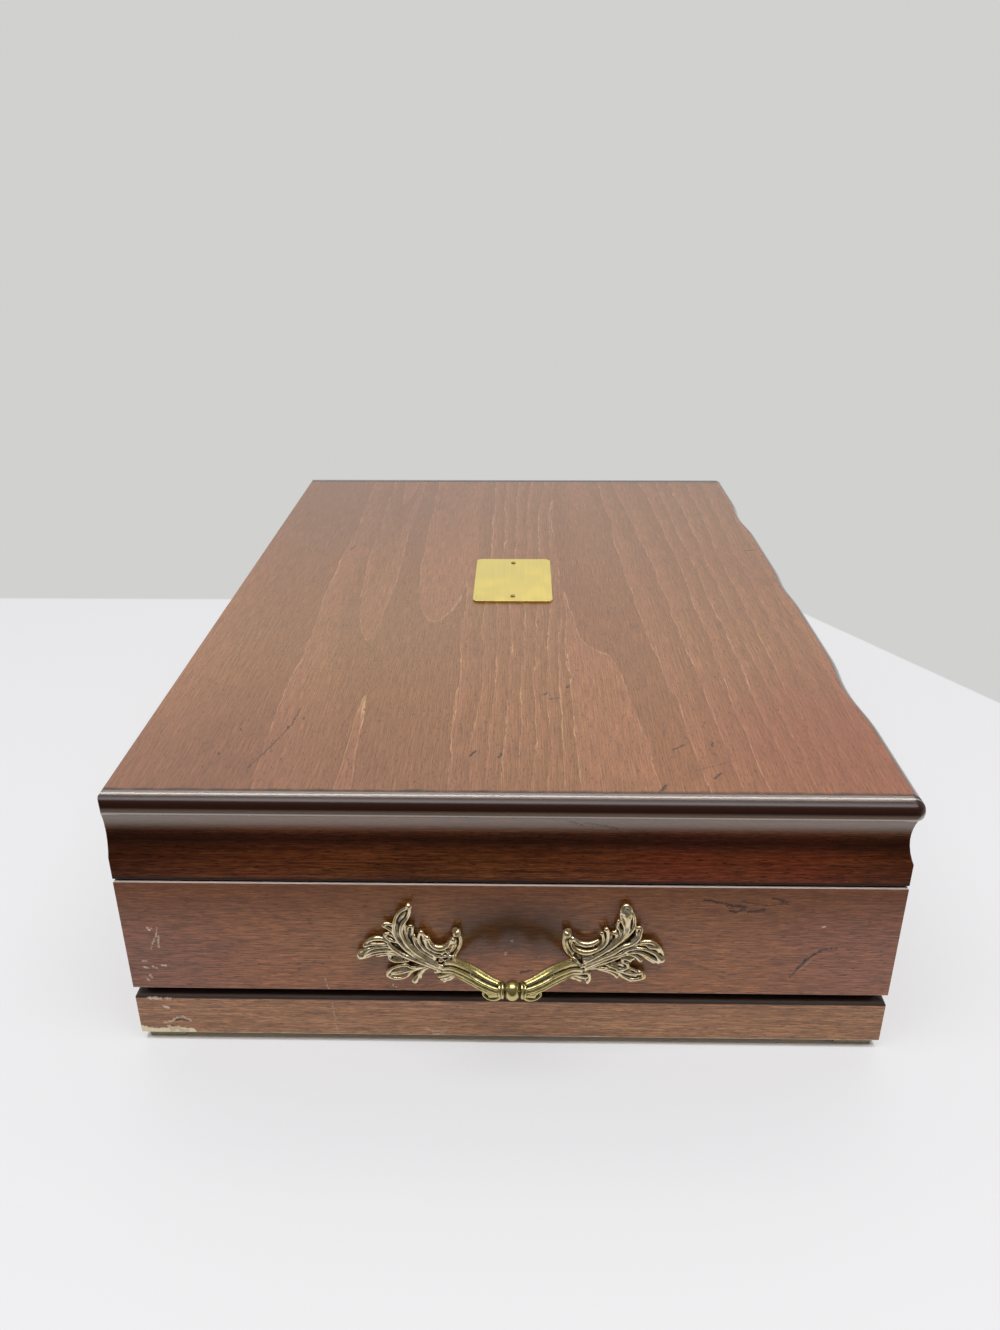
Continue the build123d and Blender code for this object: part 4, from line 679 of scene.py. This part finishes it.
FRONT_RIBS = [
    [(42.0, 23.4, 2.4, 0.85), (42.6, 25.0, 2.3, 0.9), (43.7, 25.7, 2.2, 0.95), (44.9, 25.0, 2.3, 0.9),
     (45.6, 23.4, 2.4, 0.8)],
    [(29.5, -2.1, 1.3, 1.4), (37, 2.5, 0.9, 2), (42.5, 8.5, 0.7, 2.2), (44.5, 14.5, 0.6, 2.4),
     (44.5, 19.6, 0.6, 2.3), (43.5, 23.6, 0.9, 1.9)],
    [(44.4, 14, 2.2, 1.2), (44.4, 18, 2.3, 1.6), (43.9, 21.6, 2.3, 1.9), (43.5, 23.8, 2.1, 1.7)],
    [(42.1, 23.9, 2.3, 0.8), (41.9, 21.6, 2.5, 0.75), (42.6, 18.5, 2.8, 0.75), (43.7, 15.2, 3, 0.8),
     (43.2, 11.8, 3.2, 0.8), (40.1, 8, 3.4, 0.8), (36.4, 4.8, 3.5, 0.8), (31.8, 1.3, 3.5, 0.8),
     (28.3, -0.9, 3.5, 0.8)],
    [(42.4, 22.8, 2.8, 0.8), (43.7, 22.8, 3, 1.1), (45.1, 22, 2.9, 0.9), (45.4, 20.3, 2.8, 0.65),
     (44.5, 18.5, 2.9, 0.65), (44.9, 15.3, 3.1, 0.7), (43.9, 11.9, 3.2, 0.7), (40.9, 8.2, 3.4, 0.7),
     (37.4, 5, 3.5, 0.7)],
    [(44.9, 24.4, 2.3, 0.7), (46.4, 22, 2.4, 0.7), (47.1, 19, 2.5, 0.75), (46.9, 16, 2.8, 0.8),
     (45.3, 12.9, 3, 0.8), (44.2, 11.3, 3.1, 0.7)],
    [(42.5, 18.6, 2.9, 0.6), (43.3, 20.7, 3, 0.65), (43, 22.2, 3, 0.7)],
    [(48.8, 14.5, 1.4, 1.2), (48.6, 10, 1.1, 1.6), (44.5, 6.5, 1, 1.8), (39.5, 3, 0.7, 2.2)],
    [(48.3, 14.2, 2.5, 0.6), (48.6, 15.5, 2.5, 0.8), (49.7, 15.3, 2.5, 0.85), (49.7, 13, 2.8, 0.8),
     (48.9, 10.4, 3, 0.9), (46.7, 8.4, 3.2, 1), (43.1, 6.8, 3.4, 1), (39.6, 4.1, 3.6, 0.95),
     (35.3, 1.7, 3.6, 0.9), (30.3, -1.1, 3.6, 0.85), (27.3, -2.9, 3.5, 0.8)],
    [(48.3, 13.5, 2.5, 0.6), (48.3, 11.4, 2.6, 0.6), (46.5, 9.6, 2.9, 0.55)],
    [(41, 18.8, 2.3, 0.75), (40.8, 16.3, 2.5, 0.65), (42, 13.7, 2.8, 0.75), (41.4, 11.2, 3, 0.75),
     (39.6, 8.3, 3.2, 0.75), (36.9, 5.4, 3.3, 0.75), (32.4, 2.2, 3.4, 0.75)],
    [(40.2, 16.3, 1.9, 0.6), (40.9, 14, 2.1, 0.6), (40.9, 11.8, 2.5, 0.6)],
    [(39.1, 13.3, 2.6, 0.9), (40.1, 13, 2.8, 0.9), (40.4, 11.2, 2.8, 0.65), (39.3, 8.9, 3, 0.65),
     (37.4, 6.5, 3.1, 0.65)],
    [(36.3, 15.1, 2.8, 1.1), (37, 13.7, 2.8, 0.9), (37.2, 11, 2.8, 0.75), (36.4, 8.1, 2.9, 0.75),
     (34.4, 5.8, 3.1, 0.75), (31.4, 3.8, 3.2, 0.7)],
    [(34.6, 13, 2.6, 1.05), (35.2, 11.4, 2.6, 0.7), (35.3, 9, 2.8, 0.65), (34.3, 6.6, 2.9, 0.65),
     (32.9, 5.2, 3, 0.6)],
    [(38.3, 11.5, 2.1, 0.6), (38.1, 9.3, 2.5, 0.6), (36.9, 6.7, 2.8, 0.6), (34.4, 4.2, 3, 0.6)],
    [(33.5, 4.5, 1, 1.8), (37, 8.5, 1, 1.8), (38.5, 11.5, 1.4, 1.3)],
    [(36, 9, 1.3, 1.4), (36.3, 12.5, 1.5, 1.1)],
    [(33.5, 9.5, 2.8, 0.7), (31.6, 8.2, 3, 1.1), (28.9, 7.6, 3.1, 1.25), (26.4, 8.2, 3, 1.15),
     (24.4, 9.6, 2.9, 0.9), (23.3, 10.3, 3.0, 1.1), (22.8, 9.3, 2.9, 0.9), (23, 7.9, 2.6, 0.8)],
    [(23.3, 7.7, 2.8, 0.7), (24.1, 5.9, 3, 1), (26.4, 4.4, 3.2, 1.3), (29.4, 3.9, 3.2, 1.3),
     (32.4, 4.8, 3.2, 1), (34.9, 6.3, 3.1, 0.75)],
    [(23.9, 4.5, 0.9, 2), (27.5, 4, 0.7, 2.2), (31.5, 4.5, 0.9, 2)],
    [(22.2, 4.5, 1.1, 1.6), (21.8, 8.5, 1.1, 1.6), (21.9, 12, 1.3, 1.4)],
    [(21.9, 13.1, 1.4, 1.2), (21.8, 12, 1.1, 1.65), (21.7, 10.5, 1.4, 1.2)],
    [(21.3, 12.6, 2.6, 2.1), (20.2, 9.6, 2.4, 0.8), (20.4, 6.1, 2.4, 0.7), (21.8, 3.2, 2.5, 0.7),
     (23.9, 0.9, 2.8, 0.75)],
    [(21.6, 10.4, 2.6, 0.7), (21.3, 7.7, 2.5, 0.65), (22.2, 5.1, 2.4, 0.6), (23.9, 2.7, 2.5, 0.6)],
    [(25.4, -2.1, 0.3, 2.8), (27.5, 0.5, 0.3, 2.8), (30.5, 1.5, 0.6, 2.4)],
    [(24.3, 1.1, 3.5, 0.75), (24.9, 0.2, 3.7, 1), (25.9, -1.2, 3.7, 0.8), (27.1, -3, 3.7, 0.8)],
    [(27.4, 2.6, 3, 0.5), (28.9, 2.5, 3.1, 0.5), (30.9, 3, 3.1, 0.5)],
    [(27.9, 1.4, 3.2, 0.55), (29.4, 1.5, 3.4, 0.6), (31.4, 1.9, 3.2, 0.55)],
    [(27.8, 0.3, 3.5, 0.6), (29.3, 0.4, 3.6, 0.6), (31.3, 1.1, 3.5, 0.6)],
    [(26.4, -4.6, 0.4, 2.6), (32.5, -2.1, 0.3, 2.8), (38.5, 0.5, 0.6, 2.4), (43.5, 2.5, 0.9, 2)],
    [(28.8, -3.1, 3.9, 0.7), (32.8, -0.9, 3.9, 0.75), (37.3, 1.3, 3.7, 0.75), (41.4, 3, 3.5, 0.7),
     (44.4, 4.1, 3.2, 0.65)],
    [(28.8, -4.3, 3.7, 0.7), (33.3, -2, 3.7, 0.7), (37.9, -0.2, 3.5, 0.7), (41.9, 1.6, 3.2, 0.65)],
    [(44.5, 3, 0.9, 2), (49.6, 4.5, 0.6, 2.4), (54.6, 3.5, 0.7, 2.2), (57.6, 1, 1.1, 1.6)],
    [(59.2, -1, 2, 1.2), (58.5, 0.2, 2.4, 1.8), (56.5, 2.6, 2.6, 0.9), (54.2, 4.2, 2.8, 0.7),
     (51, 5.6, 3, 0.7), (46.9, 5.7, 3.1, 0.7), (43.7, 4.4, 3.2, 0.7)],
    [(57.7, -1.1, 2.3, 1.2), (54.5, 0.8, 2.6, 0.7), (52, 2.7, 2.8, 0.65), (48.5, 3.8, 2.9, 0.65),
     (44.9, 3.5, 3.1, 0.65)],
    [(50, 8.4, 2.5, 0.8), (52, 8.8, 2.5, 0.95), (54.3, 8.4, 2.4, 1), (56.6, 6.6, 2.4, 0.95),
     (58.1, 4.5, 2.3, 0.85), (59.1, 1.9, 2.1, 0.8)],
    [(49.8, 7.5, 2.5, 0.6), (52, 7.4, 2.6, 0.6), (54, 6.4, 2.8, 0.9), (56, 6.1, 2.6, 1.1),
     (57.7, 3.7, 2.5, 0.6)],
    [(50, 8.4, 2.5, 0.8), (47.5, 7.2, 2.8, 0.6), (44.9, 5.9, 3, 0.6)],
    [(55.9, -1.7, 2, 0.8), (53.1, 0.4, 2.4, 0.65), (50.5, 2.9, 2.8, 0.6), (46.9, 4.4, 3, 0.6)],
    [(50.5, -0.7, 2.1, 1.15), (48.5, 1.4, 2.4, 0.75), (46, 2.6, 2.6, 0.7), (43.5, 2.4, 2.9, 0.7),
     (39.9, 1.2, 3.1, 0.7), (36.4, -0.8, 3.2, 0.7)],
    [(47.6, -0.1, 1.4, 1.2), (43.5, 0.5, 1.3, 1.4)],
    [(46.6, -1.3, 2, 0.75), (45, -0, 2.3, 0.7), (43.3, -0.1, 2.4, 0.65), (43.8, -1.5, 2.4, 0.65),
     (45.3, -2.5, 2.3, 0.7), (45.3, -4.3, 2.3, 0.85), (43, -5, 2.4, 0.75), (39.7, -3.9, 2.6, 0.7),
     (36.9, -2.2, 2.9, 0.65)],
    [(42.5, -2.6, 1.4, 1.2), (44.5, -4.6, 1.4, 1.2), (39.5, -3.1, 1.2, 1.5)],
    [(37.5, -4.8, 1.1, 1.6), (43.5, -6.6, 1, 1.8), (49.1, -8.1, 0.9, 1.9)],
    [(52.2, -9.1, 2.1, 1.1), (51.6, -7.2, 2.1, 0.8), (49.1, -5.9, 2.3, 0.65), (46.5, -4.5, 2.4, 0.6)],
    [(52.1, -9.3, 2.1, 1), (49.8, -10.3, 2.1, 0.85), (47.1, -10.5, 2.1, 0.75), (44.5, -9.1, 2.3, 0.7),
     (42, -6.9, 2.5, 0.7), (37.9, -4.8, 2.8, 0.7), (32.9, -3.9, 3.1, 0.7), (29.4, -4.3, 3.4, 0.7)],
    [(50.5, -6.7, 2.4, 1.05), (48.3, -7.4, 2.4, 0.65), (45, -6.8, 2.5, 0.6), (41.5, -5.3, 2.8, 0.6)],
    [(47.4, -11.3, 1.9, 0.7), (44.6, -9.8, 2.1, 0.6), (42.5, -7.9, 2.4, 0.6)],
    [(41.7, -9.5, 1.9, 0.8), (40.3, -7.9, 2.1, 0.65), (37.5, -6.1, 2.5, 0.65), (33.9, -4.7, 2.9, 0.6)],
    [(29, -7.1, 1.3, 1.4), (29, -10.1, 1.4, 1.3)],
    [(29.9, -12.3, 2.1, 0.9), (30.7, -9.8, 2.5, 0.75), (30.2, -7.2, 2.9, 0.7), (28.4, -5.4, 3.2, 0.7)],
    [(27, -11.2, 2.3, 0.8), (28, -9, 2.6, 0.7), (27.5, -6.6, 3, 0.65), (26.9, -5.1, 3.4, 0.6)],
    [(29, -10.7, 2.3, 0.65), (29.2, -8.6, 2.6, 0.6), (28.6, -6.6, 3, 0.6)],
    [(24, -7.5, 3, 0.6), (25.3, -7.4, 3.2, 0.6), (25.9, -5.9, 3.5, 0.65), (24.8, -4.6, 3.7, 0.65),
     (23.3, -5.3, 3.7, 0.6), (23.6, -6.7, 3.5, 0.55)]]

# Middle of an arm from the leaves to the bead, and its width there as a share of the widest.
ARM_LINE = [(27.0, -4.6, 3.0, 0.8), (23.4, -2.6, 4.8, 1.0), (19.4, -1.0, 8.5, 1.05), (14.9, -0.2, 12.4, 1.05),
            (10.4, -0.6, 15.6, 1.0), (6.3, -0.9, 17.8, 0.88), (3.0, -1.3, 18.7, 0.74)]
# Strands of an arm's section: up across it, proud of its middle, radius.
ARM_RIBS = [(0.2, -0.7, 2.1), (-1.5, -0.9, 1.4), (1.5, 0.55, 1.3), (2.6, 0.1, 0.95), (-0.55, 1.5, 0.75),
            (-1.95, 1.0, 0.7), (-3.0, 0.1, 0.65)]
BEAD = (0.15, -1.5, 18.8)
# Curled leaf under each arm beside the bead, and the scalloped one at its root: (along, up, out, radius).
CURL = [[(12.4, -2.6, 14.2, 0.5), (10.8, -4.6, 15.6, 0.6), (10.9, -6.3, 15.8, 0.7), (9.5, -7.7, 16.2, 0.75),
         (7.0, -7.8, 17.0, 0.75), (5.2, -6.8, 17.6, 0.7), (3.9, -5.2, 18.0, 0.6)],
        [(4.4, -3.8, 18.2, 0.5), (6.4, -5.4, 17.8, 0.55), (8.8, -6.6, 17.0, 0.45)],
        [(10.4, -4.2, 15.2, 1.0), (8.6, -5.4, 16.0, 1.4), (6.2, -5.0, 17.0, 1.5), (4.6, -3.8, 17.6, 1.2)]]
SHELL = [[(22.6, -3.4, 6.0, 0.7), (25.6, -5.6, 4.6, 0.6), (29.8, -6.6, 3.0, 0.7), (30.6, -6.9, 2.8, 0.8)],
         [(22.6, -3.8, 6.0, 0.7), (25.6, -7.0, 4.6, 0.6), (29.2, -9.2, 3.0, 0.8)],
         [(22.2, -4.0, 6.2, 0.7), (24.4, -7.4, 4.8, 0.6), (26.8, -10.0, 3.4, 0.8)],
         [(21.6, -3.8, 6.6, 0.6), (22.8, -6.6, 5.4, 0.55), (24.4, -8.4, 4.4, 0.6)],
         [(22.6, -3.6, 4.6, 1.5), (25.8, -6.8, 3.0, 1.9), (28.0, -7.8, 1.8, 1.5)]]


def smooth_strand(curve, points):
    """One round strand through its points, with soft ends."""
    points = [Vector(p) for p in points]

    def beyond(last, before):
        way = (last.xyz - before.xyz).normalized() * last.w * 0.6
        return Vector((*(last.xyz + way), last.w * 0.65))

    points = [beyond(points[0], points[1]), *points, beyond(points[-1], points[-2])]
    spline = curve.splines.new("BEZIER")
    spline.bezier_points.add(len(points) - 1)
    for knot, point in zip(spline.bezier_points, points):
        knot.co = point.xyz * MM
        knot.radius = point.w
        knot.handle_left_type = knot.handle_right_type = "AUTO"
    spline.resolution_u = 6


def four(vector, radius):
    """A strand's point, as its place and its radius."""
    return (vector[0], vector[1], vector[2], radius)


def arm_strands(side):
    """Core and flutes of one arm, a strap that turns its broad side up and outwards."""
    spots = [Vector((side * a, u, o)) for a, u, o, _ in ARM_LINE]
    strands = [[] for _ in ARM_RIBS]
    for n, spot in enumerate(spots):
        ahead = (spots[min(n + 1, len(spots) - 1)] - spots[max(n - 1, 0)]).normalized()
        proud = Vector((0, 0.5, 0.87))
        proud = (proud - ahead * proud.dot(ahead)).normalized()
        over = proud.cross(ahead)
        over *= 1 if over.y > 0 else -1
        share = ARM_LINE[n][3]
        for strand, (up, out, radius) in zip(strands, ARM_RIBS):
            strand.append(four(spot + (over * up + proud * out) * share, radius * share))
    return strands


def ring_points(centre, across, radius_up, radius_out):
    """Points round a ring that stands across the arm."""
    return [centre + Vector((across, radius_up * sin(a), radius_out * cos(a)))
            for a in np.linspace(0, 2 * pi, 13)]


def collar_strands(side):
    """Rings beside the bead, and the small leaves under the arm."""
    bead = Vector(BEAD)
    strands = [[four(p, 0.5) for p in ring_points(bead, side * 3.7, 3.0, 2.9)],
               [four(p, 0.45) for p in ring_points(bead, side * 5.0, 2.5, 2.4)]]
    return strands + [[(side * a, u, o, r) for a, u, o, r in each] for each in CURL + SHELL]


def flat_back(piece):
    """Cuts a casting off level where it sits on the wood, and closes the cut."""
    pick(piece)
    bpy.ops.object.mode_set(mode="EDIT")
    bpy.ops.mesh.select_all(action="SELECT")
    bpy.ops.mesh.bisect(plane_co=(0, 0, 0.00002), plane_no=(0, 0, 1), use_fill=True, clear_inner=True)
    bpy.ops.object.mode_set(mode="OBJECT")


def mark_hollows(piece, rounds, reach):
    """Stores how deep each point lies below its smoothed surroundings, as the attribute hollow."""
    mesh = piece.data
    count = len(mesh.vertices)
    place = np.empty(count * 3)
    mesh.vertices.foreach_get("co", place)
    place = place.reshape(-1, 3)
    normal = np.empty(count * 3)
    mesh.vertices.foreach_get("normal", normal)
    normal = normal.reshape(-1, 3)
    ends = np.empty(len(mesh.edges) * 2, int)
    mesh.edges.foreach_get("vertices", ends)
    a, b = ends.reshape(-1, 2).T
    degree = np.bincount(a, minlength=count) + np.bincount(b, minlength=count)
    smooth = place.copy()
    for _ in range(rounds):
        total = np.empty_like(smooth)
        for axis in range(3):
            total[:, axis] = (np.bincount(a, weights=smooth[b, axis], minlength=count)
                              + np.bincount(b, weights=smooth[a, axis], minlength=count))
        smooth = 0.5 * smooth + 0.5 * total / np.maximum(degree, 1)[:, None]
    depth = ((smooth - place) * normal).sum(1) / reach
    layer = mesh.attributes.new("hollow", "FLOAT", "POINT")
    layer.data.foreach_set("value", depth.astype(np.float32))


def cast_pull(finish):
    """The whole casting in its own frame: along the end, up and outwards."""
    curve = bpy.data.curves.new("pull", "CURVE")
    curve.dimensions, curve.bevel_depth, curve.bevel_resolution = "3D", MM, 3
    curve.use_fill_caps = True
    for ribs in (BACK_RIBS, FRONT_RIBS):
        side = -1 if ribs is BACK_RIBS else 1
        for strand in ribs:
            smooth_strand(curve, [(side * a, u, o, r) for a, u, o, r in strand])
        for strand in arm_strands(side) + collar_strands(side):
            smooth_strand(curve, strand)
    pull = link("left_pull", curve)
    pick(pull)
    bpy.ops.object.convert(target="MESH")
    pull = bpy.context.object
    bpy.ops.mesh.primitive_uv_sphere_add(segments=32, ring_count=20, radius=4.1 * MM,
                                         location=[v * MM for v in BEAD], scale=(0.8, 1, 0.95))
    bead = bpy.context.object
    at_rest(bead)
    pick(pull)
    bead.select_set(True)
    bpy.ops.object.join()
    remesh = pull.modifiers.new("skin", "REMESH")
    remesh.mode, remesh.voxel_size, remesh.use_smooth_shade = "VOXEL", 0.29 * MM, True
    smooth = pull.modifiers.new("cast_softness", "SMOOTH")
    smooth.factor, smooth.iterations = 0.5, 3
    apply_all(pull)
    flat_back(pull)
    mark_hollows(pull, 16, 0.3 * MM)
    dress(pull, finish)
    pick(pull)
    bpy.ops.object.shade_smooth()
    return pull


def pulls(finish):
    """Both castings, each turned to face out of its own end."""
    left = cast_pull(finish)
    right = link("right_pull", left.data.copy())
    for pull, side in ((left, -1), (right, 1)):
        along, out = Vector((0, side, 0)), Vector((side, 0, 0))
        turn = Matrix((along, out.cross(along), out)).transposed().to_4x4()
        middle = Vector((side * HALF, MID_Y + side * PULL_SHIFT, PULL_UP)) * MM
        pull.data.transform(Matrix.Translation(middle) @ turn)
        stand_in(pull, "left_handle" if side < 0 else "right_handle")


def antiqued_brass():
    """Die-cast brass: dark brown patina left in the hollows, ridges rubbed back to pale metal."""
    made, add, spot = material("antiqued_cast_brass")
    hollow = add("Attribute", out="Fac", attribute_name="hollow")
    blot = add("TexNoise", {"Vector": spot, "Scale": 0.35, "Detail": 3.0}, out="Fac")
    blot = add("MapRange", [blot, 0, 1, -0.25, 0.25])
    depth = add("Math ADD", [hollow, blot])
    patina_and_painted_shade = add("MapRange", [depth, -0.7, 0.6])
    patina_and_painted_shade = add("ValToRGB", [patina_and_painted_shade], stops=[(0.0, 0.0), (0.5, 0.06), (0.62, 0.7), (0.74, 1.0)])
    bright = toned(add, srgb("#fae6c2"), blot, -0.05, 0.15, 1, "#ccb160")
    # The arms and the bead, which hands touch, are yellower than the leaves.
    out = add("Math ABSOLUTE", [add("SeparateXYZ", [spot])])
    bright = toned(add, bright, out, HALF + 4, HALF + 9, 0.75, "#cdbd6e")
    # Painted shade darkens it where it meets the wood.
    foot = add("MapRange", [out, HALF + 2.2, HALF + 1])
    patina_and_painted_shade = add("Math MAXIMUM", [patina_and_painted_shade, foot])
    colour = add("MixRGB", [patina_and_painted_shade, bright, srgb("#140c06")])
    metal = add("MapRange", [patina_and_painted_shade, 0, 1, 0.93, 0.1])
    rough = add("MapRange", [patina_and_painted_shade, 0, 1, 0.24, 0.5])
    add("OutputMaterial", [add("BsdfPrincipled", {
        "Base Color": colour, "Metallic": metal, "Roughness": rough})])
    return made


# ------------------------------------------------------------ the other finishes


def sheet_brass(name, colour, rough, grain):
    """Rolled brass, lacquered: fine lines along the rolling direction stretch its highlight."""
    made, add, spot = material(name)
    grooves = stretched_noise(add, spot, grain)
    cloud = add("TexNoise", {"Vector": spot, "Scale": 0.08, "Detail": 3.0}, out="Fac")
    tone = add("MapRange", [grooves, 0.3, 0.7, 0.94, 1.04])
    tint = add("MixRGB MULTIPLY", [1.0, srgb(colour), tone])
    dull = add("MapRange", [cloud, 0.3, 0.7, rough - 0.05, rough + 0.08])
    bump = add("Bump", {"Height": grooves, "Strength": 0.25, "Distance": 0.00002})
    add("OutputMaterial", [add("BsdfPrincipled", {
        "Base Color": tint, "Metallic": 1.0, "Roughness": dull, "Normal": bump})])
    return made


def zinc_steel():
    """Zinc-plated steel of the pulls' machine screws: bluish white, slightly cloudy."""
    made, add, spot = material("zinc_plated_steel")
    cloud = add("TexNoise", {"Vector": spot, "Scale": 0.6, "Detail": 3.0}, out="Fac")
    tint = add("ValToRGB", [cloud], stops=[(0.3, "#b9bcbc"), (0.7, "#cfd0cd")])
    dull = add("MapRange", [cloud, 0, 1, 0.28, 0.45])
    add("OutputMaterial", [add("BsdfPrincipled", {"Base Color": tint, "Metallic": 1.0, "Roughness": dull})])
    return made


def napped_cloth():
    """Brown cotton flannel treated against tarnish: a short nap that pales at grazing angles."""
    made, add, spot = material("napped_silver_cloth")
    cloud = add("TexNoise", {"Vector": spot, "Scale": 0.03, "Detail": 4.0, "Roughness": 0.6}, out="Fac")
    # The real nap is finer than shows, so tufts are drawn at 0.8 mm.
    tuft = add("TexNoise", {"Vector": spot, "Scale": 1.25, "Detail": 2.0}, out="Fac")
    tint = add("ValToRGB", [cloud], stops=[(0.35, "#573622"), (0.65, "#6b462c")])
    shade = add("MapRange", [tuft, 0.3, 0.7, 0.75, 1.15])
    tint = add("MixRGB MULTIPLY", [1.0, tint, shade])
    bump = add("Bump", {"Height": tuft, "Strength": 0.6, "Distance": 0.0002})
    add("OutputMaterial", [add("BsdfPrincipled", {
        "Base Color": tint, "Roughness": 0.95, "Specular IOR Level": 0.1, "Normal": bump,
        "Sheen Weight": 0.5, "Sheen Roughness": 0.5, "Sheen Tint": srgb("#b08a68")})])
    return made


def raw_pine():
    """Sawn pine, unfinished: pale, with amber late wood every 3 mm and a woolly matt face."""
    made, add, spot = material("sawn_pine")
    ring = stretched_noise(add, spot, (60, 1.6, 40), 3.0, 0.55)
    fibre = stretched_noise(add, spot, (6, 0.4, 0.6), 2.0, 0.6, 4.0)
    tint = add("ValToRGB", [ring], stops=[(0.38, "#d3b283"), (0.55, "#c59f6b"), (0.66, "#a97b45")])
    shade = add("MapRange", [fibre, 0.3, 0.7, 0.85, 1.1])
    tint = add("MixRGB MULTIPLY", [1.0, tint, shade])
    bump = add("Bump", {"Height": fibre, "Strength": 0.5, "Distance": 0.0001})
    add("OutputMaterial", [add("BsdfPrincipled", {"Base Color": tint, "Roughness": 0.75, "Normal": bump})])
    return made


def pressed_felt():
    """Pressed wool felt, putty coloured: matt, with fibres that lie every way."""
    made, add, spot = material("pressed_felt")
    fibre = add("TexNoise", {"Vector": spot, "Scale": 1.6, "Detail": 4.0, "Roughness": 0.7}, out="Fac")
    tint = add("ValToRGB", [fibre], stops=[(0.35, "#948872"), (0.65, "#b8ae98")])
    bump = add("Bump", {"Height": fibre, "Strength": 0.8, "Distance": 0.0002})
    add("OutputMaterial", [add("BsdfPrincipled", {
        "Base Color": tint, "Roughness": 0.95, "Specular IOR Level": 0.1, "Normal": bump,
        "Sheen Weight": 0.3})])
    return made


# ------------------------------------------------------------ the chest

CORNER = 0.003                  # radius of the lid board's corners in plan, in metres
SCREW_END = (HALF + 2.2) * MM   # the pulls' screws end inside the castings


def node_copy(name, finish):
    """A copy of a frame node with its doubled points merged."""
    piece = link(name + "_finished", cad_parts[name].data.copy())
    dress(piece, finish)
    pick(piece)
    bpy.ops.object.mode_set(mode="EDIT")
    bpy.ops.mesh.select_all(action="SELECT")
    bpy.ops.mesh.remove_doubles(threshold=0.000002)
    bpy.ops.object.mode_set(mode="OBJECT")
    return piece


def even_shade(piece):
    """Smooth shading under 32 degrees in which the large faces keep their own direction."""
    pick(piece)
    bpy.ops.object.shade_smooth_by_angle(angle=radians(32))
    even = piece.modifiers.new("even_normals", "WEIGHTED_NORMAL")
    even.weight, even.keep_sharp = 100, True
    apply_all(piece)


def eased(name, finish, ease, steps=3):
    """A node's stand-in with its sharp edges rounded by a radius in mm, as sanding and use leave them."""
    piece = node_copy(name, finish)
    bpy.ops.object.mode_set(mode="EDIT")
    bpy.ops.mesh.dissolve_limited(angle_limit=radians(0.3))
    bpy.ops.object.mode_set(mode="OBJECT")
    round_off = piece.modifiers.new("ease", "BEVEL")
    round_off.limit_method, round_off.angle_limit = "ANGLE", radians(24)
    round_off.width, round_off.segments, round_off.use_clamp_overlap = ease * MM, steps, True
    apply_all(piece)
    even_shade(piece)
    stand_in(piece, name)
    return piece


def lid_board(finish):
    """The lid board, its back corners drawn in along a quarter circle, as sanding leaves them."""
    piece = node_copy("lid_panel", finish)
    high = max(v.co.y for v in piece.data.vertices)
    far = max(v.co.x for v in piece.data.vertices)
    for v in piece.data.vertices:
        out = Vector((CORNER - far + abs(v.co.x), CORNER - high + v.co.y))
        if min(out) > 0 and out.length > CORNER:
            out = out.normalized() * CORNER
            v.co.x = (far - CORNER + out.x) * (1 if v.co.x > 0 else -1)
            v.co.y = high - CORNER + out.y
    even_shade(piece)
    stand_in(piece, "lid_panel")


camera()
stage()
lights()
wood = woods()
lid_board(wood["top"])
for kind, *names in (("band_end", "box_left_end", "box_right_end"), ("base_end", "base_left", "base_right"),
                     ("rail_end", "lid_left_rail", "lid_right_rail"), ("band_front", "box_front", "box_back"),
                     ("base_front", "base_front", "base_back"),
                     ("rail_front", "lid_front_rail", "lid_back_rail")):
    for name in names:
        eased(name, wood[kind], 0.3)
dress(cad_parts["bottom_panel"], wood["plain"])
eased("nameplate", sheet_brass("satin_sheet_brass", "#d9c874", 0.36, (40, 0.3, 4)), 0.25)
dress(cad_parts["nameplate_pins"], sheet_brass("turned_brass_pins", "#8a7238", 0.4, (2, 2, 2)))
hinge_brass = sheet_brass("rolled_hinge_brass", "#c8b06a", 0.38, (30, 0.5, 0.5))
for name in ("hinge_box_leaves", "hinge_lid_leaves", "hinge_pins", "hinge_box_screws", "hinge_lid_screws"):
    dress(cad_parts[name], hinge_brass)
screws = eased("handle_screws", zinc_steel(), 0.15, 2)
for v in screws.data.vertices:
    v.co.x = max(-SCREW_END, min(SCREW_END, v.co.x))
# Cloth drawn over card or wood: every edge turns over softly.
cloth = napped_cloth()
for name in ("box_lining", "lid_lining", "rear_stack_rack", "front_stack_rack", "tray_divider",
             "knife_blade_rack", "knife_handle_rest"):
    eased(name, cloth, 0.4 if name.endswith("lining") else 0.9, 4)
dress(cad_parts["base_corner_blocks"], raw_pine())
dress(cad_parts["felt_pads"], pressed_felt())
pulls(antiqued_brass())
